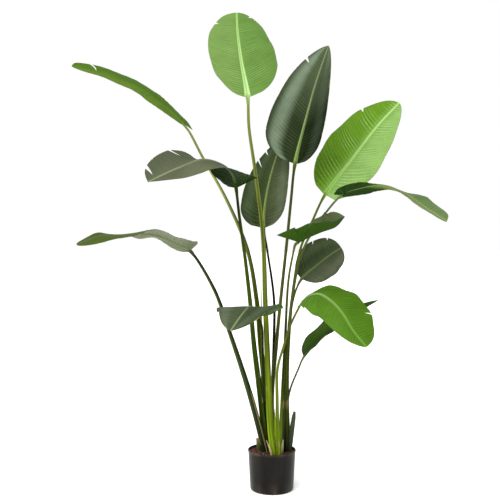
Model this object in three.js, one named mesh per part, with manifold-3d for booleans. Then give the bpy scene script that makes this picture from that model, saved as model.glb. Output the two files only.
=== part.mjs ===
// Potted bird of paradise: thirteen long-stalked leaves, a few shoots and dry strips, and a black pot
// of soil. Sizes are in millimetres, +Z is up, and the origin is the middle of the pot's underside.

import * as THREE from "three";
import { mergeVertices } from "three/addons/utils/BufferGeometryUtils.js";
import Module from "manifold-3d";

const wasm = await Module();
wasm.setup();

// Pot and soil
const POT_HEIGHT = 158;
const POT_TOP_RADIUS = 95;
const POT_BASE_RADIUS = 86;
const POT_BASE_ROUNDING = 9;
const POT_WALL = 2.4;
const POT_FLOOR = 3.5;
const POT_CORNER = 8;
const POT_LIP_HEIGHT = 7;
const POT_LIP_REACH = 1.2;
const POT_SIDES = 48;
const SOIL_LEVEL = 148;
const SOIL_LUMPS = 2;
const LUMP_LENGTH = 13;
const SOIL_RINGS = 5;
const SEAT_GAP = 0.3;

// Every stem stands straight in its hole and starts to lean a little above the soil
const LEAF_FOOT_DEPTH = 70;
const SHOOT_FOOT_DEPTH = 30;
const FOOT_TOP = SOIL_LEVEL + 5;
const CURVE_STEPS = 50;

// Leaf build: each ring has seven points on the upper side and seven on the underside
const BLADE_THICKNESS = 0.8;
const RIB_TIP_RADIUS = 1.4;
const RIB_DEPTH_RATIO = 1.2;
const STALK_DEPTH_RATIO = 0.8;
const LEAF_ANGLES = [170, 145, 115, 90, 65, 35, 10];
const SHOOT_ANGLES = [157.5, 112.5, 67.5, 22.5];
const STALK_STATIONS = 10;
const BLADE_STATIONS = 15;
const SHOOT_STATIONS = 6;
const TEAR_OPENING = 0.022;
const VEIN_SLANT = 0.1;
const VEIN_BEND = 1.6;
const WAVES_PER_BLADE = 3.5;
const WAVE_HEIGHT = 6;
const WAVE_SHIFT = 0.37;
const TIP_POWER = 1.8;
const INNER_SHARE = 0.55;
const EVEN_SHARE = 0.35;
const LAST_PLACE = 0.998;
const LOBE_FALL = 8;

// Finishes
const FRESH_GREEN = 0x6f9a45;
const MID_GREEN = 0x4f7426;
const DEEP_GREEN = 0x33501f;
const SHOOT_GREEN = 0x5c6c19;
const DRY_SHEATH = 0x8f8460;
const POT_BLACK = 0x21211c;
const SOIL_BROWN = 0x492f21;

// Every leaf: the stalk from the soil up, the midrib from the blade's foot to its tip, the stalk's
// half-widths (foot, middle, top), and the way the upper side faces from the blade's foot to its tip.
// Each half of the blade: its reach, where it is widest, how blunt the tip is, how far its lobe hangs
// back behind the foot, and how far it rises out of flat (rise) and bends over (curl), in degrees.
// A tear: the half it is in, its place along the blade, and its depth as a share of the reach.
// A wave: how far a margin that is calmer than the others ripples up and down.
const LEAVES = {
  leaf_top: {
    stalk: [
      [5, -54, 158], [-6, -51, 245], [-14, -46, 415], [-27, -36, 750], [-36, -25, 1005],
      [-67, -5, 1265], [-91, 10, 1438],
    ],
    midrib: [[-96, 25, 1560], [-123, 125, 1731], [-140, 220, 1880], [-145, 300, 1985]],
    radii: [12.5, 11.5, 5.5],
    colour: FRESH_GREEN,
    faces: [[0, -1, 0.3], [0, -1, 0.5]],
    left: { reach: 131, widest: 0.62, blunt: 0.38, rise: [6, 0, -4], curl: [-14, -14] },
    right: { reach: 150, widest: 0.4, blunt: 0.46, rise: [6, 0, -4], curl: [-14, -14] },
    tears: [["left", 0.9, 0.16], ["right", 0.95, 0.2]],
  },
  leaf_tall_right: {
    stalk: [[13, 3, 158], [1, 6, 350], [18, 5, 570], [35, 0, 750], [60, -10, 988], [75, -20, 1145]],
    midrib: [[90, -30, 1287], [128, -45, 1446], [169, -60, 1596], [218, -70, 1740]],
    radii: [9, 8, 5],
    colour: DEEP_GREEN,
    faces: [[0.15, 1, 0.1], [0.1, 1, 0.1]],
    left: { reach: 78, widest: 0.26, blunt: 0.72, rise: [8, 4, 0], curl: [-10, -10] },
    right: { reach: 145, widest: 0.25, blunt: 0.72, rise: [8, 4, 0], curl: [-10, -10] },
    tears: [["right", 0.85, 0.25]],
  },
  leaf_bright_right: {
    stalk: [[50, 25, 158], [55, 25, 350], [65, 22, 590], [80, 22, 750], [115, 35, 950], [165, 50, 1065]],
    midrib: [[217, 60, 1172], [333, 110, 1323], [446, 160, 1467], [545, 200, 1572]],
    radii: [9, 6, 4.5],
    colour: FRESH_GREEN,
    faces: [[-0.2, -1, 0.3], [-0.2, -1, 0.5]],
    left: { reach: 146, widest: 0.48, blunt: 0.48, rise: [6, 0, -4], curl: [-14, -14] },
    right: { reach: 116, widest: 0.34, blunt: 0.62, lobe: 25, rise: [6, 0, -4], curl: [-14, -14] },
    tears: [["left", 0.8, 0.15]],
  },
  leaf_far_left: {
    stalk: [
      [-22, 36, 158], [-24, 35, 346], [-44, 40, 566], [-60, 45, 747], [-97, 50, 948], [-181, 60, 1150],
      [-277, 65, 1321],
    ],
    midrib: [[-352, 65, 1455], [-435, 60, 1530], [-521, 55, 1595], [-659, 45, 1655], [-801, 30, 1688]],
    radii: [12.5, 12, 5.5],
    colour: MID_GREEN,
    wave: 1.5,
    faces: [[0.3, -0.42, 1], [0.2, -0.5, 1], [0.2, -0.6, 1]],
    left: { reach: 60, widest: 0.45, blunt: 0.4, lobe: 5, rise: [0, 6, 6], curl: [-14, -14] },
    right: { reach: 100, widest: 0.5, blunt: 0.3, lobe: 60, rise: [0, 0, 4], curl: [-14, -14] },
    tears: [["right", 0.88, 1.0]],
  },
  leaf_folded_left: {
    stalk: [
      [-24, 10, 158], [-49, -8, 395], [-71, -16, 573], [-87, -22, 750], [-110, -38, 948],
      [-129, -52, 1085],
    ],
    midrib: [
      [-141, -72, 1190], [-145, -96, 1206], [-155, -150, 1235], [-190, -200, 1263],
      [-259, -235, 1279], [-349, -250, 1246], [-458, -255, 1195],
    ],
    radii: [11.5, 11.5, 5],
    colour: DEEP_GREEN,
    faces: [[0, -0.45, -0.9], [-0.5, 0, -0.7], [-0.35, 0.57, -0.7], [-0.05, 0.95, -0.12], [0, 1, 0.1]],
    left: { reach: 92, widest: 0.55, blunt: 0.3, lobe: 10, rise: [0, 35, 50, 15, 0], curl: [0, 0] },
    right: { reach: 92, widest: 0.06, blunt: 1, lobe: -30, rise: [-8, -13, 0, 8, 0], curl: [-14, -14] },
    tears: [["left", 0.74, 0.4], ["left", 0.96, 0.7]],
  },
  leaf_low_left: {
    stalk: [
      [-29, -14, 158], [-46, -24, 230], [-81, -48, 364], [-118, -66, 487], [-163, -80, 623],
      [-224, -85, 794],
    ],
    midrib: [
      [-318, -90, 945], [-362, -120, 970], [-420, -160, 998], [-477, -200, 1010], [-551, -240, 1006],
      [-629, -270, 999], [-709, -290, 968],
    ],
    radii: [14, 12, 5.5],
    colour: MID_GREEN,
    faces: [[0.2, 0.9, 0.4], [0.1, 0.32, 1], [0, 0.27, 1], [0, 0.08, 1], [0, -0.28, 1], [0, -0.35, 1]],
    left: { reach: 112, widest: 0.25, blunt: 0.5, lobe: 10, rise: [-8, 0, 0], curl: [-14, -14] },
    right: { reach: 84, widest: 0.44, blunt: 0.5, lobe: 4, rise: [18, 14, 0, 0], curl: [-14, -14] },
    tears: [["left", 0.5, 0.3]],
  },
  leaf_centre_back: {
    stalk: [[6, 32, 158], [3, 36, 350], [9, 42, 566], [10, 46, 747], [-17, 55, 948]],
    midrib: [[-31, 60, 1038], [-26, 66, 1131], [-7, 72, 1233], [19, 78, 1323], [40, 82, 1393]],
    radii: [9, 7, 4],
    colour: DEEP_GREEN,
    faces: [[0.1, 1, 0.1], [0.1, 1, 0]],
    left: { reach: 84, widest: 0.32, blunt: 0.5, rise: [0, 0, 0], curl: [-14, -14] },
    right: { reach: 98, widest: 0.22, blunt: 0.68, rise: [0, 0, 0], curl: [-14, -14] },
    tears: [["right", 0.72, 0.35], ["right", 0.84, 0.3]],
  },
  leaf_arching_right: {
    stalk: [
      [55, -15, 158], [57, -16, 356], [67, -20, 593], [85, -20, 790], [122, -25, 948], [188, -32, 1062],
    ],
    midrib: [
      [270, -40, 1160], [326, -60, 1183], [436, -85, 1197], [522, -105, 1158], [590, -115, 1106],
      [664, -120, 1058],
    ],
    wave: 2,
    radii: [9, 6, 4.5],
    colour: DEEP_GREEN,
    faces: [[-0.35, -0.7, 0.8], [0, -0.45, 1], [0, -0.3, 1], [0.2, -0.55, 1], [0.3, -0.75, 1]],
    left: { reach: 93, widest: 0.3, blunt: 0.2, lobe: 46, rise: [0, -3, -13, 8, 6], curl: [-14, -14] },
    right: { reach: 80, widest: 0.4, blunt: 0.3, rise: [20, 4, 14, 20, 24], curl: [-14, -14] },
    tears: [["left", 0.5, 0.3]],
  },
  leaf_small_right: {
    stalk: [
      [33, -20, 158], [40, -25, 357], [50, -40, 576], [62, -80, 832], [77, -97, 925], [88, -107, 970],
    ],
    midrib: [
      [96, -110, 975], [112, -117, 980], [134, -125, 992], [187, -125, 1015], [242, -115, 1036],
      [278, -100, 1075],
    ],
    radii: [10, 7, 4],
    colour: DEEP_GREEN,
    faces: [[0, -0.9, -0.45], [0, -0.7, -0.6], [0, -0.7, -0.7], [0, -0.6, -0.8]],
    left: { reach: 62, widest: 0.03, blunt: 0.8, lobe: 85, rise: [0, 0, 0], curl: [-14, -14] },
    right: { reach: 68, widest: 0.75, blunt: 0.35, rise: [-60, -95, -105], curl: [-50, -50] },
    tears: [["left", 0.36, 0.35], ["left", 0.7, 0.3]],
  },
  leaf_round_right: {
    stalk: [[70, 21, 158], [65, 36, 347], [70, 42, 566], [87, 50, 746]],
    midrib: [[122, 60, 831], [180, 70, 882], [235, 75, 925], [285, 80, 958]],
    radii: [8, 5.5, 4],
    colour: DEEP_GREEN,
    faces: [[0, 1, 0.1], [0, 1, 0.1]],
    left: { reach: 75, widest: 0.56, blunt: 0.36, rise: [0, 0, 0], curl: [-14, -14] },
    right: { reach: 95, widest: 0.45, blunt: 0.42, rise: [0, 0, 0], curl: [-14, -14] },
    tears: [["right", 0.62, 0.15], ["right", 0.86, 0.15]],
  },
  leaf_left_front: {
    stalk: [[-3, 14, 158], [-21, 0, 353], [-34, -12, 480], [-37, -25, 560], [-42, -55, 656]],
    midrib: [[-58, -75, 689], [-72, -150, 718], [-87, -240, 742], [-119, -320, 714], [-155, -350, 664]],
    radii: [8.5, 7, 4.5],
    colour: DEEP_GREEN,
    faces: [[0, -0.6, -0.8], [0, 0, -1], [0, 0.6, -0.8], [0, 1, -0.2]],
    left: { reach: 130, widest: 0.4, blunt: 0.45, rise: [0, 5, 14], curl: [0, 22] },
    right: { reach: 113, widest: 0.25, blunt: 0.9, lobe: 18, rise: [0, 0, 0], curl: [-14, -14] },
  },
  leaf_front_right: {
    stalk: [
      [24, -66, 158], [19, -60, 364], [20, -70, 487], [45, -80, 581], [66, -92, 652], [101, -100, 727],
    ],
    midrib: [
      [124, -108, 764], [168, -150, 783], [208, -205, 763], [245, -265, 722], [284, -305, 656],
      [325, -330, 605],
    ],
    radii: [9, 7, 5],
    colour: FRESH_GREEN,
    faces: [[-0.2, -0.3, 1], [-0.1, -0.7, 0.8], [0, -0.9, 0.6], [0, -1, 0.5]],
    left: { reach: 94, widest: 0.64, blunt: 0.4, lobe: 30, rise: [0, 8, 10], curl: [-14, -14] },
    right: { reach: 90, widest: 0.25, blunt: 0.75, lobe: 55, rise: [0, 0, 0], curl: [-14, -14] },
    tears: [["left", 0.73, 0.22]],
  },
  leaf_low_right: {
    stalk: [[58, 48, 158], [70, 48, 364], [108, 43, 469]],
    midrib: [[131, 40, 520], [205, 60, 592], [313, 85, 670], [439, 110, 742]],
    radii: [8, 5, 4],
    colour: DEEP_GREEN,
    faces: [[-0.5, -0.6, 0.6], [-0.5, -0.6, 0.6]],
    left: { reach: 78, widest: 0.35, blunt: 0.9, rise: [0, 0, 0], curl: [-14, -14] },
    right: { reach: 80, widest: 0.35, blunt: 0.9, rise: [48, 48, 48], curl: [-14, -14] },
  },
};

// Shoots and strips: the middle line from the soil up, the half-widths from foot to tip, and how deep
// each is from front to back as a share of its width
const SHOOTS = {
  spear_leaf: {
    course: [[-41, 20, 158], [-40, 13, 570], [-42, 4, 750], [-43, 0, 865]],
    radii: [4.5, 3.5, 3.2, 0.8],
    depthRatio: 1,
    colour: SHOOT_GREEN,
  },
  new_spear: {
    course: [[14, -25, 158], [13, -25, 240], [11, -25, 323]],
    radii: [6, 5, 1],
    depthRatio: 1,
    colour: FRESH_GREEN,
  },
  young_shoot: {
    course: [[70, 2, 158], [78, 2, 225], [90, 2, 306]],
    radii: [9.5, 10.5, 10.5, 10, 9.5, 8.5, 5],
    depthRatio: 0.8,
    colour: DEEP_GREEN,
  },
  cut_stalk: {
    course: [[-52, 4, 158], [-54, 4, 180], [-56, 4, 200]],
    radii: [8.5, 8.5, 8],
    depthRatio: 0.8,
    colour: SHOOT_GREEN,
  },
  dry_sheath_left: {
    course: [[-3, -76, 158], [-12, -77, 184], [-23, -75, 211]],
    radii: [4, 3.8, 2.4, 0.8],
    depthRatio: 0.22,
    colour: DRY_SHEATH,
  },
  dry_sheath_right: {
    course: [[37, -72, 158], [39, -73, 185], [42, -70, 213]],
    radii: [4, 4.8, 3.5, 0.8],
    depthRatio: 0.22,
    colour: DRY_SHEATH,
  },
};

// Value at a place from 0 to 1, between values spread evenly
function between(values, place) {
  const scaled = THREE.MathUtils.clamp(place, 0, 1) * (values.length - 1);
  const lower = Math.min(Math.floor(scaled), values.length - 2);
  return THREE.MathUtils.lerp(values[lower], values[lower + 1], scaled - lower);
}

// Closed body through rings of equal size, each face split the same way above and below
function loft(rings) {
  const size = rings[0].length;
  const half = size / 2;
  const triangles = [];
  for (let ring = 0; ring + 1 < rings.length; ring += 1) {
    for (let place = 0; place < size; place += 1) {
      const a = ring * size + place;
      const b = ring * size + ((place + 1) % size);
      const c = a + size;
      const d = b + size;
      if (place < half) {
        triangles.push(a, b, d, a, d, c);
      } else {
        triangles.push(a, b, c, b, d, c);
      }
    }
  }
  const last = (rings.length - 1) * size;
  for (let place = 0; place + 1 < half; place += 1) {
    const mirror = size - 1 - place;
    triangles.push(place, mirror - 1, place + 1, place, mirror, mirror - 1);
    triangles.push(last + place, last + place + 1, last + mirror - 1);
    triangles.push(last + place, last + mirror - 1, last + mirror);
  }
  const geometry = new THREE.BufferGeometry();
  const coordinates = rings.flat().flatMap((point) => point.toArray());
  geometry.setAttribute("position", new THREE.Float32BufferAttribute(coordinates, 3));
  geometry.setIndex(triangles);
  geometry.computeVertexNormals();
  return geometry;
}

// Curve through the given places, its length, and its centre, side and upward ways at a distance
function courseOf(places, facing) {
  const curve = new THREE.CatmullRomCurve3(places.map((place) => new THREE.Vector3(...place)));
  curve.arcLengthDivisions = CURVE_STEPS * (places.length - 1);
  const lengths = curve.getLengths();
  const length = lengths[lengths.length - 1];

  function frameAt(distance, place) {
    const along = THREE.MathUtils.clamp(distance / length, 0, 1);
    const ahead = curve.getTangentAt(along);
    const up = facing.getPoint(place);
    up.addScaledVector(ahead, -up.dot(ahead)).normalize();
    return { centre: curve.getPointAt(along), ahead, up, side: ahead.clone().cross(up) };
  }
  return { lengths, length, frameAt };
}

// Oval ring of points round a frame, from its left over the upper side to its right and back below
function ovalRing({ centre, side, up }, halfWidth, halfDepth, angles) {
  const below = angles.map((angle) => -angle).reverse();
  return [...angles, ...below].map((angle) => {
    const turn = THREE.MathUtils.degToRad(angle);
    return centre
      .clone()
      .addScaledVector(side, halfWidth * Math.cos(turn))
      .addScaledVector(up, halfDepth * Math.sin(turn));
  });
}

// Upright ring of a stem's buried foot at a height, grown by a clearance for its hole
function footRing(foot, height, clearance) {
  const centre = new THREE.Vector3(foot.centre.x, foot.centre.y, height);
  const up = new THREE.Vector3(foot.up.x, foot.up.y, 0).normalize();
  const side = new THREE.Vector3(0, 0, 1).cross(up);
  const [halfWidth, halfDepth] = [foot.halfWidth + clearance, foot.halfDepth + clearance];
  return ovalRing({ centre, side, up }, halfWidth, halfDepth, foot.angles);
}

// Half-width of the blade against its widest, from its foot (0) to its tip (1)
function bladeOutline(half, place) {
  if (place < half.widest) {
    return Math.sqrt(1 - (1 - place / half.widest) ** 2);
  }
  const toTip = (place - half.widest) / (1 - half.widest);
  return (1 - Math.min(toTip, 1) ** TIP_POWER) ** half.blunt;
}

// Leaf course with the distance where its blade starts, and the surface of the blade
function leafShape(leaf) {
  const facing = new THREE.CatmullRomCurve3(leaf.faces.map((way) => new THREE.Vector3(...way)));
  const course = courseOf([...leaf.stalk, ...leaf.midrib], facing);
  const start = course.lengths[CURVE_STEPS * leaf.stalk.length];
  const bladeLength = course.length - start;

  // Point of the blade's upper side, pushed down by depth along the blade's own normal
  function bladePoint(distance, reach, sign, depth) {
    const place = THREE.MathUtils.clamp((distance - start) / bladeLength, 0, 1);
    const { centre, ahead, up, side } = course.frameAt(Math.max(distance, start), place);
    const half = sign < 0 ? leaf.left : leaf.right;
    const share = reach / half.reach;
    const rise = between(half.rise, place);
    const curl = between(half.curl, place) * share;
    const slope = THREE.MathUtils.degToRad(rise + curl / 2);
    const bend = THREE.MathUtils.degToRad(rise + curl);
    const waveTurn = 2 * Math.PI * (WAVES_PER_BLADE * place + WAVE_SHIFT * sign);
    const wave = (leaf.wave ?? WAVE_HEIGHT) * share ** 2 * Math.sin(waveTurn);
    return centre
      .addScaledVector(ahead, Math.min(distance - start, 0))
      .addScaledVector(side, sign * (reach * Math.cos(slope) + depth * Math.sin(bend)))
      .addScaledVector(up, reach * Math.sin(slope) + wave - depth * Math.cos(bend));
  }
  return { start, bladeLength, frameAt: course.frameAt, bladePoint };
}

// Ring of the blade along one pair of side veins; torn margins stop short of the outline
function bladeRing(leaf, shape, place, torn) {
  const ribRadius = THREE.MathUtils.lerp(leaf.radii[2], RIB_TIP_RADIUS, place);
  const reached = shape.start + place * shape.bladeLength;
  const root = reached - VEIN_SLANT * Math.sin(Math.PI * place) * shape.bladeLength;
  const upper = [];
  const lower = [];
  for (const step of [-3, -2, -1, 0, 1, 2, 3]) {
    const sign = Math.sign(step) || 1;
    const half = sign < 0 ? leaf.left : leaf.right;
    const margin = reached - (half.lobe ?? 0) * (1 - place) ** LOBE_FALL;
    const full = Math.max(half.reach * bladeOutline(half, place), ribRadius * 1.5);
    const reachable = full * (1 - (torn[sign < 0 ? "left" : "right"] ?? 0));
    const besideRib = Math.min(ribRadius, (reachable * INNER_SHARE) / 2);
    const reach = [0, besideRib, reachable * INNER_SHARE, reachable][Math.abs(step)];
    const distance = THREE.MathUtils.lerp(root, margin, (reach / full) ** VEIN_BEND);
    const ribDepth = step === 0 ? ribRadius * RIB_DEPTH_RATIO : 0;
    upper.push(shape.bladePoint(distance, reach, sign, 0));
    lower.push(shape.bladePoint(distance, reach, sign, BLADE_THICKNESS + ribDepth));
  }
  return [...upper, ...lower.reverse()];
}

// Places of the blade's rings, closer near its ends, with three at every tear
function bladePlaces(leaf) {
  const places = [];
  for (let step = 1; step <= BLADE_STATIONS; step += 1) {
    const even = step / BLADE_STATIONS;
    const place = THREE.MathUtils.lerp(0.5 - 0.5 * Math.cos(Math.PI * even), even, EVEN_SHARE);
    places.push({ place: Math.min(place, LAST_PLACE), torn: {} });
  }
  for (const [side, place, depth] of leaf.tears ?? []) {
    const kept = places.filter((ring) => Math.abs(ring.place - place) > 1.5 * TEAR_OPENING);
    places.length = 0;
    places.push(...kept);
    places.push({ place: place - TEAR_OPENING / 2, torn: {} });
    places.push({ place, torn: { [side]: depth } });
    places.push({ place: place + TEAR_OPENING / 2, torn: {} });
  }
  return places.sort((a, b) => a.place - b.place);
}

// Whole leaf above the soil: rings of the stalk, then rings of the blade
function leafStem(leaf) {
  const shape = leafShape(leaf);
  const rings = [];
  for (let step = 0; step <= STALK_STATIONS; step += 1) {
    const along = step / STALK_STATIONS;
    const halfWidth = between(leaf.radii, along ** 0.5);
    const frame = shape.frameAt(along * shape.start, 0);
    rings.push(ovalRing(frame, halfWidth, halfWidth * STALK_DEPTH_RATIO, LEAF_ANGLES));
  }
  for (const { place, torn } of bladePlaces(leaf)) {
    rings.push(bladeRing(leaf, shape, place, torn));
  }
  const halfWidth = leaf.radii[0];
  const halfDepth = halfWidth * STALK_DEPTH_RATIO;
  const foot = { ...shape.frameAt(0, 0), halfWidth, halfDepth, angles: LEAF_ANGLES };
  return { rings, foot, bottom: SOIL_LEVEL - LEAF_FOOT_DEPTH };
}

// Rolled young leaf, cut stalk or dry strip, all built as a tapering oval
function shootStem(shoot) {
  const facing = new THREE.LineCurve3(new THREE.Vector3(0, -1, 0), new THREE.Vector3(0, -1, 0));
  const course = courseOf(shoot.course, facing);
  const rings = [];
  for (let step = 0; step <= SHOOT_STATIONS; step += 1) {
    const along = step / SHOOT_STATIONS;
    const halfWidth = between(shoot.radii, along);
    const halfDepth = Math.max(halfWidth * shoot.depthRatio, BLADE_THICKNESS);
    rings.push(ovalRing(course.frameAt(along * course.length, 0), halfWidth, halfDepth, SHOOT_ANGLES));
  }
  const halfWidth = shoot.radii[0];
  const halfDepth = halfWidth * shoot.depthRatio;
  const foot = { ...course.frameAt(0, 0), halfWidth, halfDepth, angles: SHOOT_ANGLES };
  return { rings, foot, bottom: SOIL_LEVEL - SHOOT_FOOT_DEPTH };
}

// Body of a stem with its straight foot, and the hole that the foot stands in
function stemBody({ rings, foot, bottom }) {
  return loft([footRing(foot, bottom, 0), footRing(foot, FOOT_TOP, 0), ...rings]);
}

function footHole({ foot, bottom }) {
  return loft([footRing(foot, bottom - SEAT_GAP, SEAT_GAP), footRing(foot, FOOT_TOP, SEAT_GAP)]);
}

// Radius of the pot's outer wall at a height
function wallRadius(height) {
  const wallTop = POT_TOP_RADIUS - POT_LIP_REACH;
  const share = (height - POT_BASE_ROUNDING) / (POT_HEIGHT - POT_BASE_ROUNDING);
  return THREE.MathUtils.lerp(POT_BASE_RADIUS, wallTop, share);
}

// Turned body from a profile of radius and height pairs
function turned(profile) {
  const points = profile.map(([radius, height]) => new THREE.Vector2(radius, height));
  return new THREE.LatheGeometry(points, POT_SIDES).rotateX(Math.PI / 2);
}

function potGeometry() {
  const rounding = [];
  for (const angle of [-90, -65, -40, -20, 0]) {
    const turn = THREE.MathUtils.degToRad(angle);
    rounding.push([
      POT_BASE_RADIUS - POT_BASE_ROUNDING + POT_BASE_ROUNDING * Math.cos(turn),
      POT_BASE_ROUNDING + POT_BASE_ROUNDING * Math.sin(turn),
    ]);
  }
  const lipBottom = POT_HEIGHT - POT_LIP_HEIGHT;
  const insideTop = wallRadius(POT_HEIGHT) - POT_WALL;
  const cornerTop = POT_FLOOR + POT_CORNER;
  const insideCorner = wallRadius(cornerTop) - POT_WALL;
  return turned([
    [0, 0],
    ...rounding,
    [wallRadius(lipBottom), lipBottom],
    [POT_TOP_RADIUS, lipBottom + POT_LIP_REACH],
    [POT_TOP_RADIUS, POT_HEIGHT - POT_LIP_REACH],
    [POT_TOP_RADIUS - POT_LIP_REACH, POT_HEIGHT],
    [insideTop + POT_LIP_REACH, POT_HEIGHT],
    [insideTop, POT_HEIGHT - POT_LIP_REACH],
    [insideCorner, cornerTop],
    [insideCorner - POT_CORNER, POT_FLOOR],
    [0, POT_FLOOR],
  ]);
}

// Soil filling the pot, its top lifted into low lumps by a formula
function soilGeometry() {
  const edge = wallRadius(SOIL_LEVEL) - POT_WALL - SEAT_GAP;
  const cornerTop = POT_FLOOR + POT_CORNER;
  const corner = wallRadius(cornerTop) - POT_WALL - SEAT_GAP;
  const profile = [
    [0, POT_FLOOR + SEAT_GAP],
    [corner - POT_CORNER, POT_FLOOR + SEAT_GAP],
    [corner, cornerTop + SEAT_GAP],
  ];
  for (let ring = 0; ring <= SOIL_RINGS; ring += 1) {
    profile.push([edge * (1 - ring / SOIL_RINGS), SOIL_LEVEL]);
  }
  const geometry = turned(profile);
  const position = geometry.getAttribute("position");
  for (let index = 0; index < position.count; index += 1) {
    const [x, y, z] = [position.getX(index), position.getY(index), position.getZ(index)];
    const isTop = z > SOIL_LEVEL - SEAT_GAP && Math.hypot(x, y) < edge - SEAT_GAP;
    if (isTop) {
      position.setZ(index, z + SOIL_LUMPS * Math.sin(x / LUMP_LENGTH + 1) * Math.cos(y / LUMP_LENGTH));
    }
  }
  return geometry;
}

// Geometry to a solid for cutting: shared corners are merged and flat triangles dropped
function toSolid(geometry) {
  const bare = new THREE.BufferGeometry();
  bare.setAttribute("position", geometry.getAttribute("position"));
  bare.setIndex(geometry.getIndex());
  const merged = mergeVertices(bare, 1e-3);
  const corners = merged.getIndex().array;
  const triVerts = [];
  for (let index = 0; index < corners.length; index += 3) {
    const [a, b, c] = [corners[index], corners[index + 1], corners[index + 2]];
    if (a !== b && b !== c && c !== a) {
      triVerts.push(a, b, c);
    }
  }
  const vertProperties = Float32Array.from(merged.getAttribute("position").array);
  const mesh = new wasm.Mesh({ numProp: 3, vertProperties, triVerts: Uint32Array.from(triVerts) });
  return new wasm.Manifold(mesh);
}

function fromSolid(solid) {
  const { vertProperties, triVerts } = solid.getMesh();
  const geometry = new THREE.BufferGeometry();
  geometry.setAttribute("position", new THREE.Float32BufferAttribute(vertProperties, 3));
  geometry.setIndex(Array.from(triVerts));
  geometry.computeVertexNormals();
  return geometry;
}

const plant = new THREE.Group();

function addPart(name, geometry, color, roughness) {
  const material = new THREE.MeshStandardMaterial({ color, roughness, metalness: 0 });
  const mesh = new THREE.Mesh(geometry, material);
  mesh.name = name;
  plant.add(mesh);
}

let soil = toSolid(soilGeometry());
for (const [name, leaf] of Object.entries(LEAVES)) {
  const stem = leafStem(leaf);
  soil = soil.subtract(toSolid(footHole(stem)));
  addPart(name, stemBody(stem), leaf.colour, 0.45);
}
for (const [name, shoot] of Object.entries(SHOOTS)) {
  const stem = shootStem(shoot);
  soil = soil.subtract(toSolid(footHole(stem)));
  addPart(name, stemBody(stem), shoot.colour, 0.6);
}
addPart("pot", potGeometry(), POT_BLACK, 0.4);
addPart("soil", fromSolid(soil), SOIL_BROWN, 0.95);

export default plant;
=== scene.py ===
"""Potted bird of paradise: leaves on long stalks, young shoots and dry sheath strips in a black pot"""
import math
import random

import bpy
import numpy as np
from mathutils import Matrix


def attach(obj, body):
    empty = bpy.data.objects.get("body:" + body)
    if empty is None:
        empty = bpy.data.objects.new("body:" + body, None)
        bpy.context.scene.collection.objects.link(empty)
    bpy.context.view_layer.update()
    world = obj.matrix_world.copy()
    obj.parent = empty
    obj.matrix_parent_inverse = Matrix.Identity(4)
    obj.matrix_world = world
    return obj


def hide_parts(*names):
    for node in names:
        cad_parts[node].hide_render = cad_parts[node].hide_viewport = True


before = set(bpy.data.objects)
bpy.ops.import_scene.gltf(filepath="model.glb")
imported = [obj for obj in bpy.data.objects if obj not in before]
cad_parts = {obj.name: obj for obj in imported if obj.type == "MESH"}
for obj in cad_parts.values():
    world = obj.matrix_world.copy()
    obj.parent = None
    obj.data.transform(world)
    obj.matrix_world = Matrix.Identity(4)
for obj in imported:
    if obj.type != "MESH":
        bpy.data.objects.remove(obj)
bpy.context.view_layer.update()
bpy.ops.object.select_all(action="DESELECT")

# Lengths on the plant are in millimetres until a mesh is made
MM = 0.001

# Camera, level and at about half the plant's height: its place and its reach are in metres
CAMERA_PLACE = (-0.0867, -3.0, 0.948)
CAMERA_LENS = 54.41
CAMERA_SENSOR = 36
CAMERA_REACH = 1000

# Stems stand straight in the soil up to this height, from the depths of their feet
FOOT_TOP = 153
LEAF_FOOT_BOTTOM = 78
SHOOT_FOOT_BOTTOM = 118

# Pot and soil, as packed
POT_HEIGHT = 158
POT_TOP_RADIUS = 95
POT_BASE_RADIUS = 86
POT_BASE_ROUNDING = 9
POT_WALL = 2.4
POT_FLOOR = 3.5
POT_CORNER = 8
POT_LIP_HEIGHT = 7
POT_LIP_REACH = 1.2
SOIL_LEVEL = 148
SEAT_GAP = 0.3

# Fine form of the pot: its sides, rows up its wall, and the steps under its lip and its inner bead
POT_SIDES = 128
WALL_ROWS = 8
WALL_FOOT = 20
LIP_STEP = 0.2
INSIDE_STEP = 12

# Leaf sections: columns from the midrib to the margin, those on the midrib itself, and row spacings
HALF_COLUMNS = 16
RIB_COLUMNS = 5
STALK_ROW = 12
STALK_END_ROW = 3.0
STALK_END_ROWS = 8
BLADE_ROW = 2
JUNCTION_ROWS = 8
JUNCTION_LENGTH = 40
FIRST_PLACE = 0.03
TIP_STEPS = (0.003, 0.0018, 0.001, 0.0005, 0.0002, 0.00005)
TEAR_CLEARANCE = 0.1

# The upper and the lower half of a stalk's section reach this far to each side of their middles, in degrees
STALK_SECTION_TURN = 87

# Smallest step along a spline, and the distance in metres within which points are welded
NEARBY = 1e-4
WELD = 5e-6

# Leaf proportions, as packed
CURVE_STEPS = 50
BLADE_THICKNESS = 0.8
RIB_TIP_RADIUS = 1.4
RIB_DEPTH_RATIO = 1.2
NARROWEST_RATIO = 1.5
RIB_LARGEST_SHARE = 0.5
STALK_DEPTH_RATIO = 0.8
TEAR_OPENING = 0.022
VEIN_SLANT = 0.2
VEIN_BEND = 0.3
WAVES_PER_BLADE = 3.5
WAVE_SHIFT = 0.37
TIP_POWER = 1.8
LOBE_FALL = 8

# Fine relief of a blade: pleats along its side veins, a slow pillowing between them, and a grooved midrib
PLEAT_HEIGHT = 0.45
PLEAT_DRIFT = 1.4
PLEAT_DRIFT_LENGTH = 37
PLEAT_FADE = 0.25
PLEAT_FADE_LENGTH = 23
PLEAT_OFFSET = 0.5
PLEAT_RISE = (0.05, 0.2)
PILLOW_LENGTH = 46
PILLOW_HEIGHT = 0.9
PILLOW_SLANT = 5
PILLOW_RISE = (0.1, 0.6)
RIB_GROOVE = 0.35
FOOT_GROOVE = 0.5
STALK_GROOVE = 0.25
GROOVE_WIDTH_RATIO = 0.4

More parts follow.
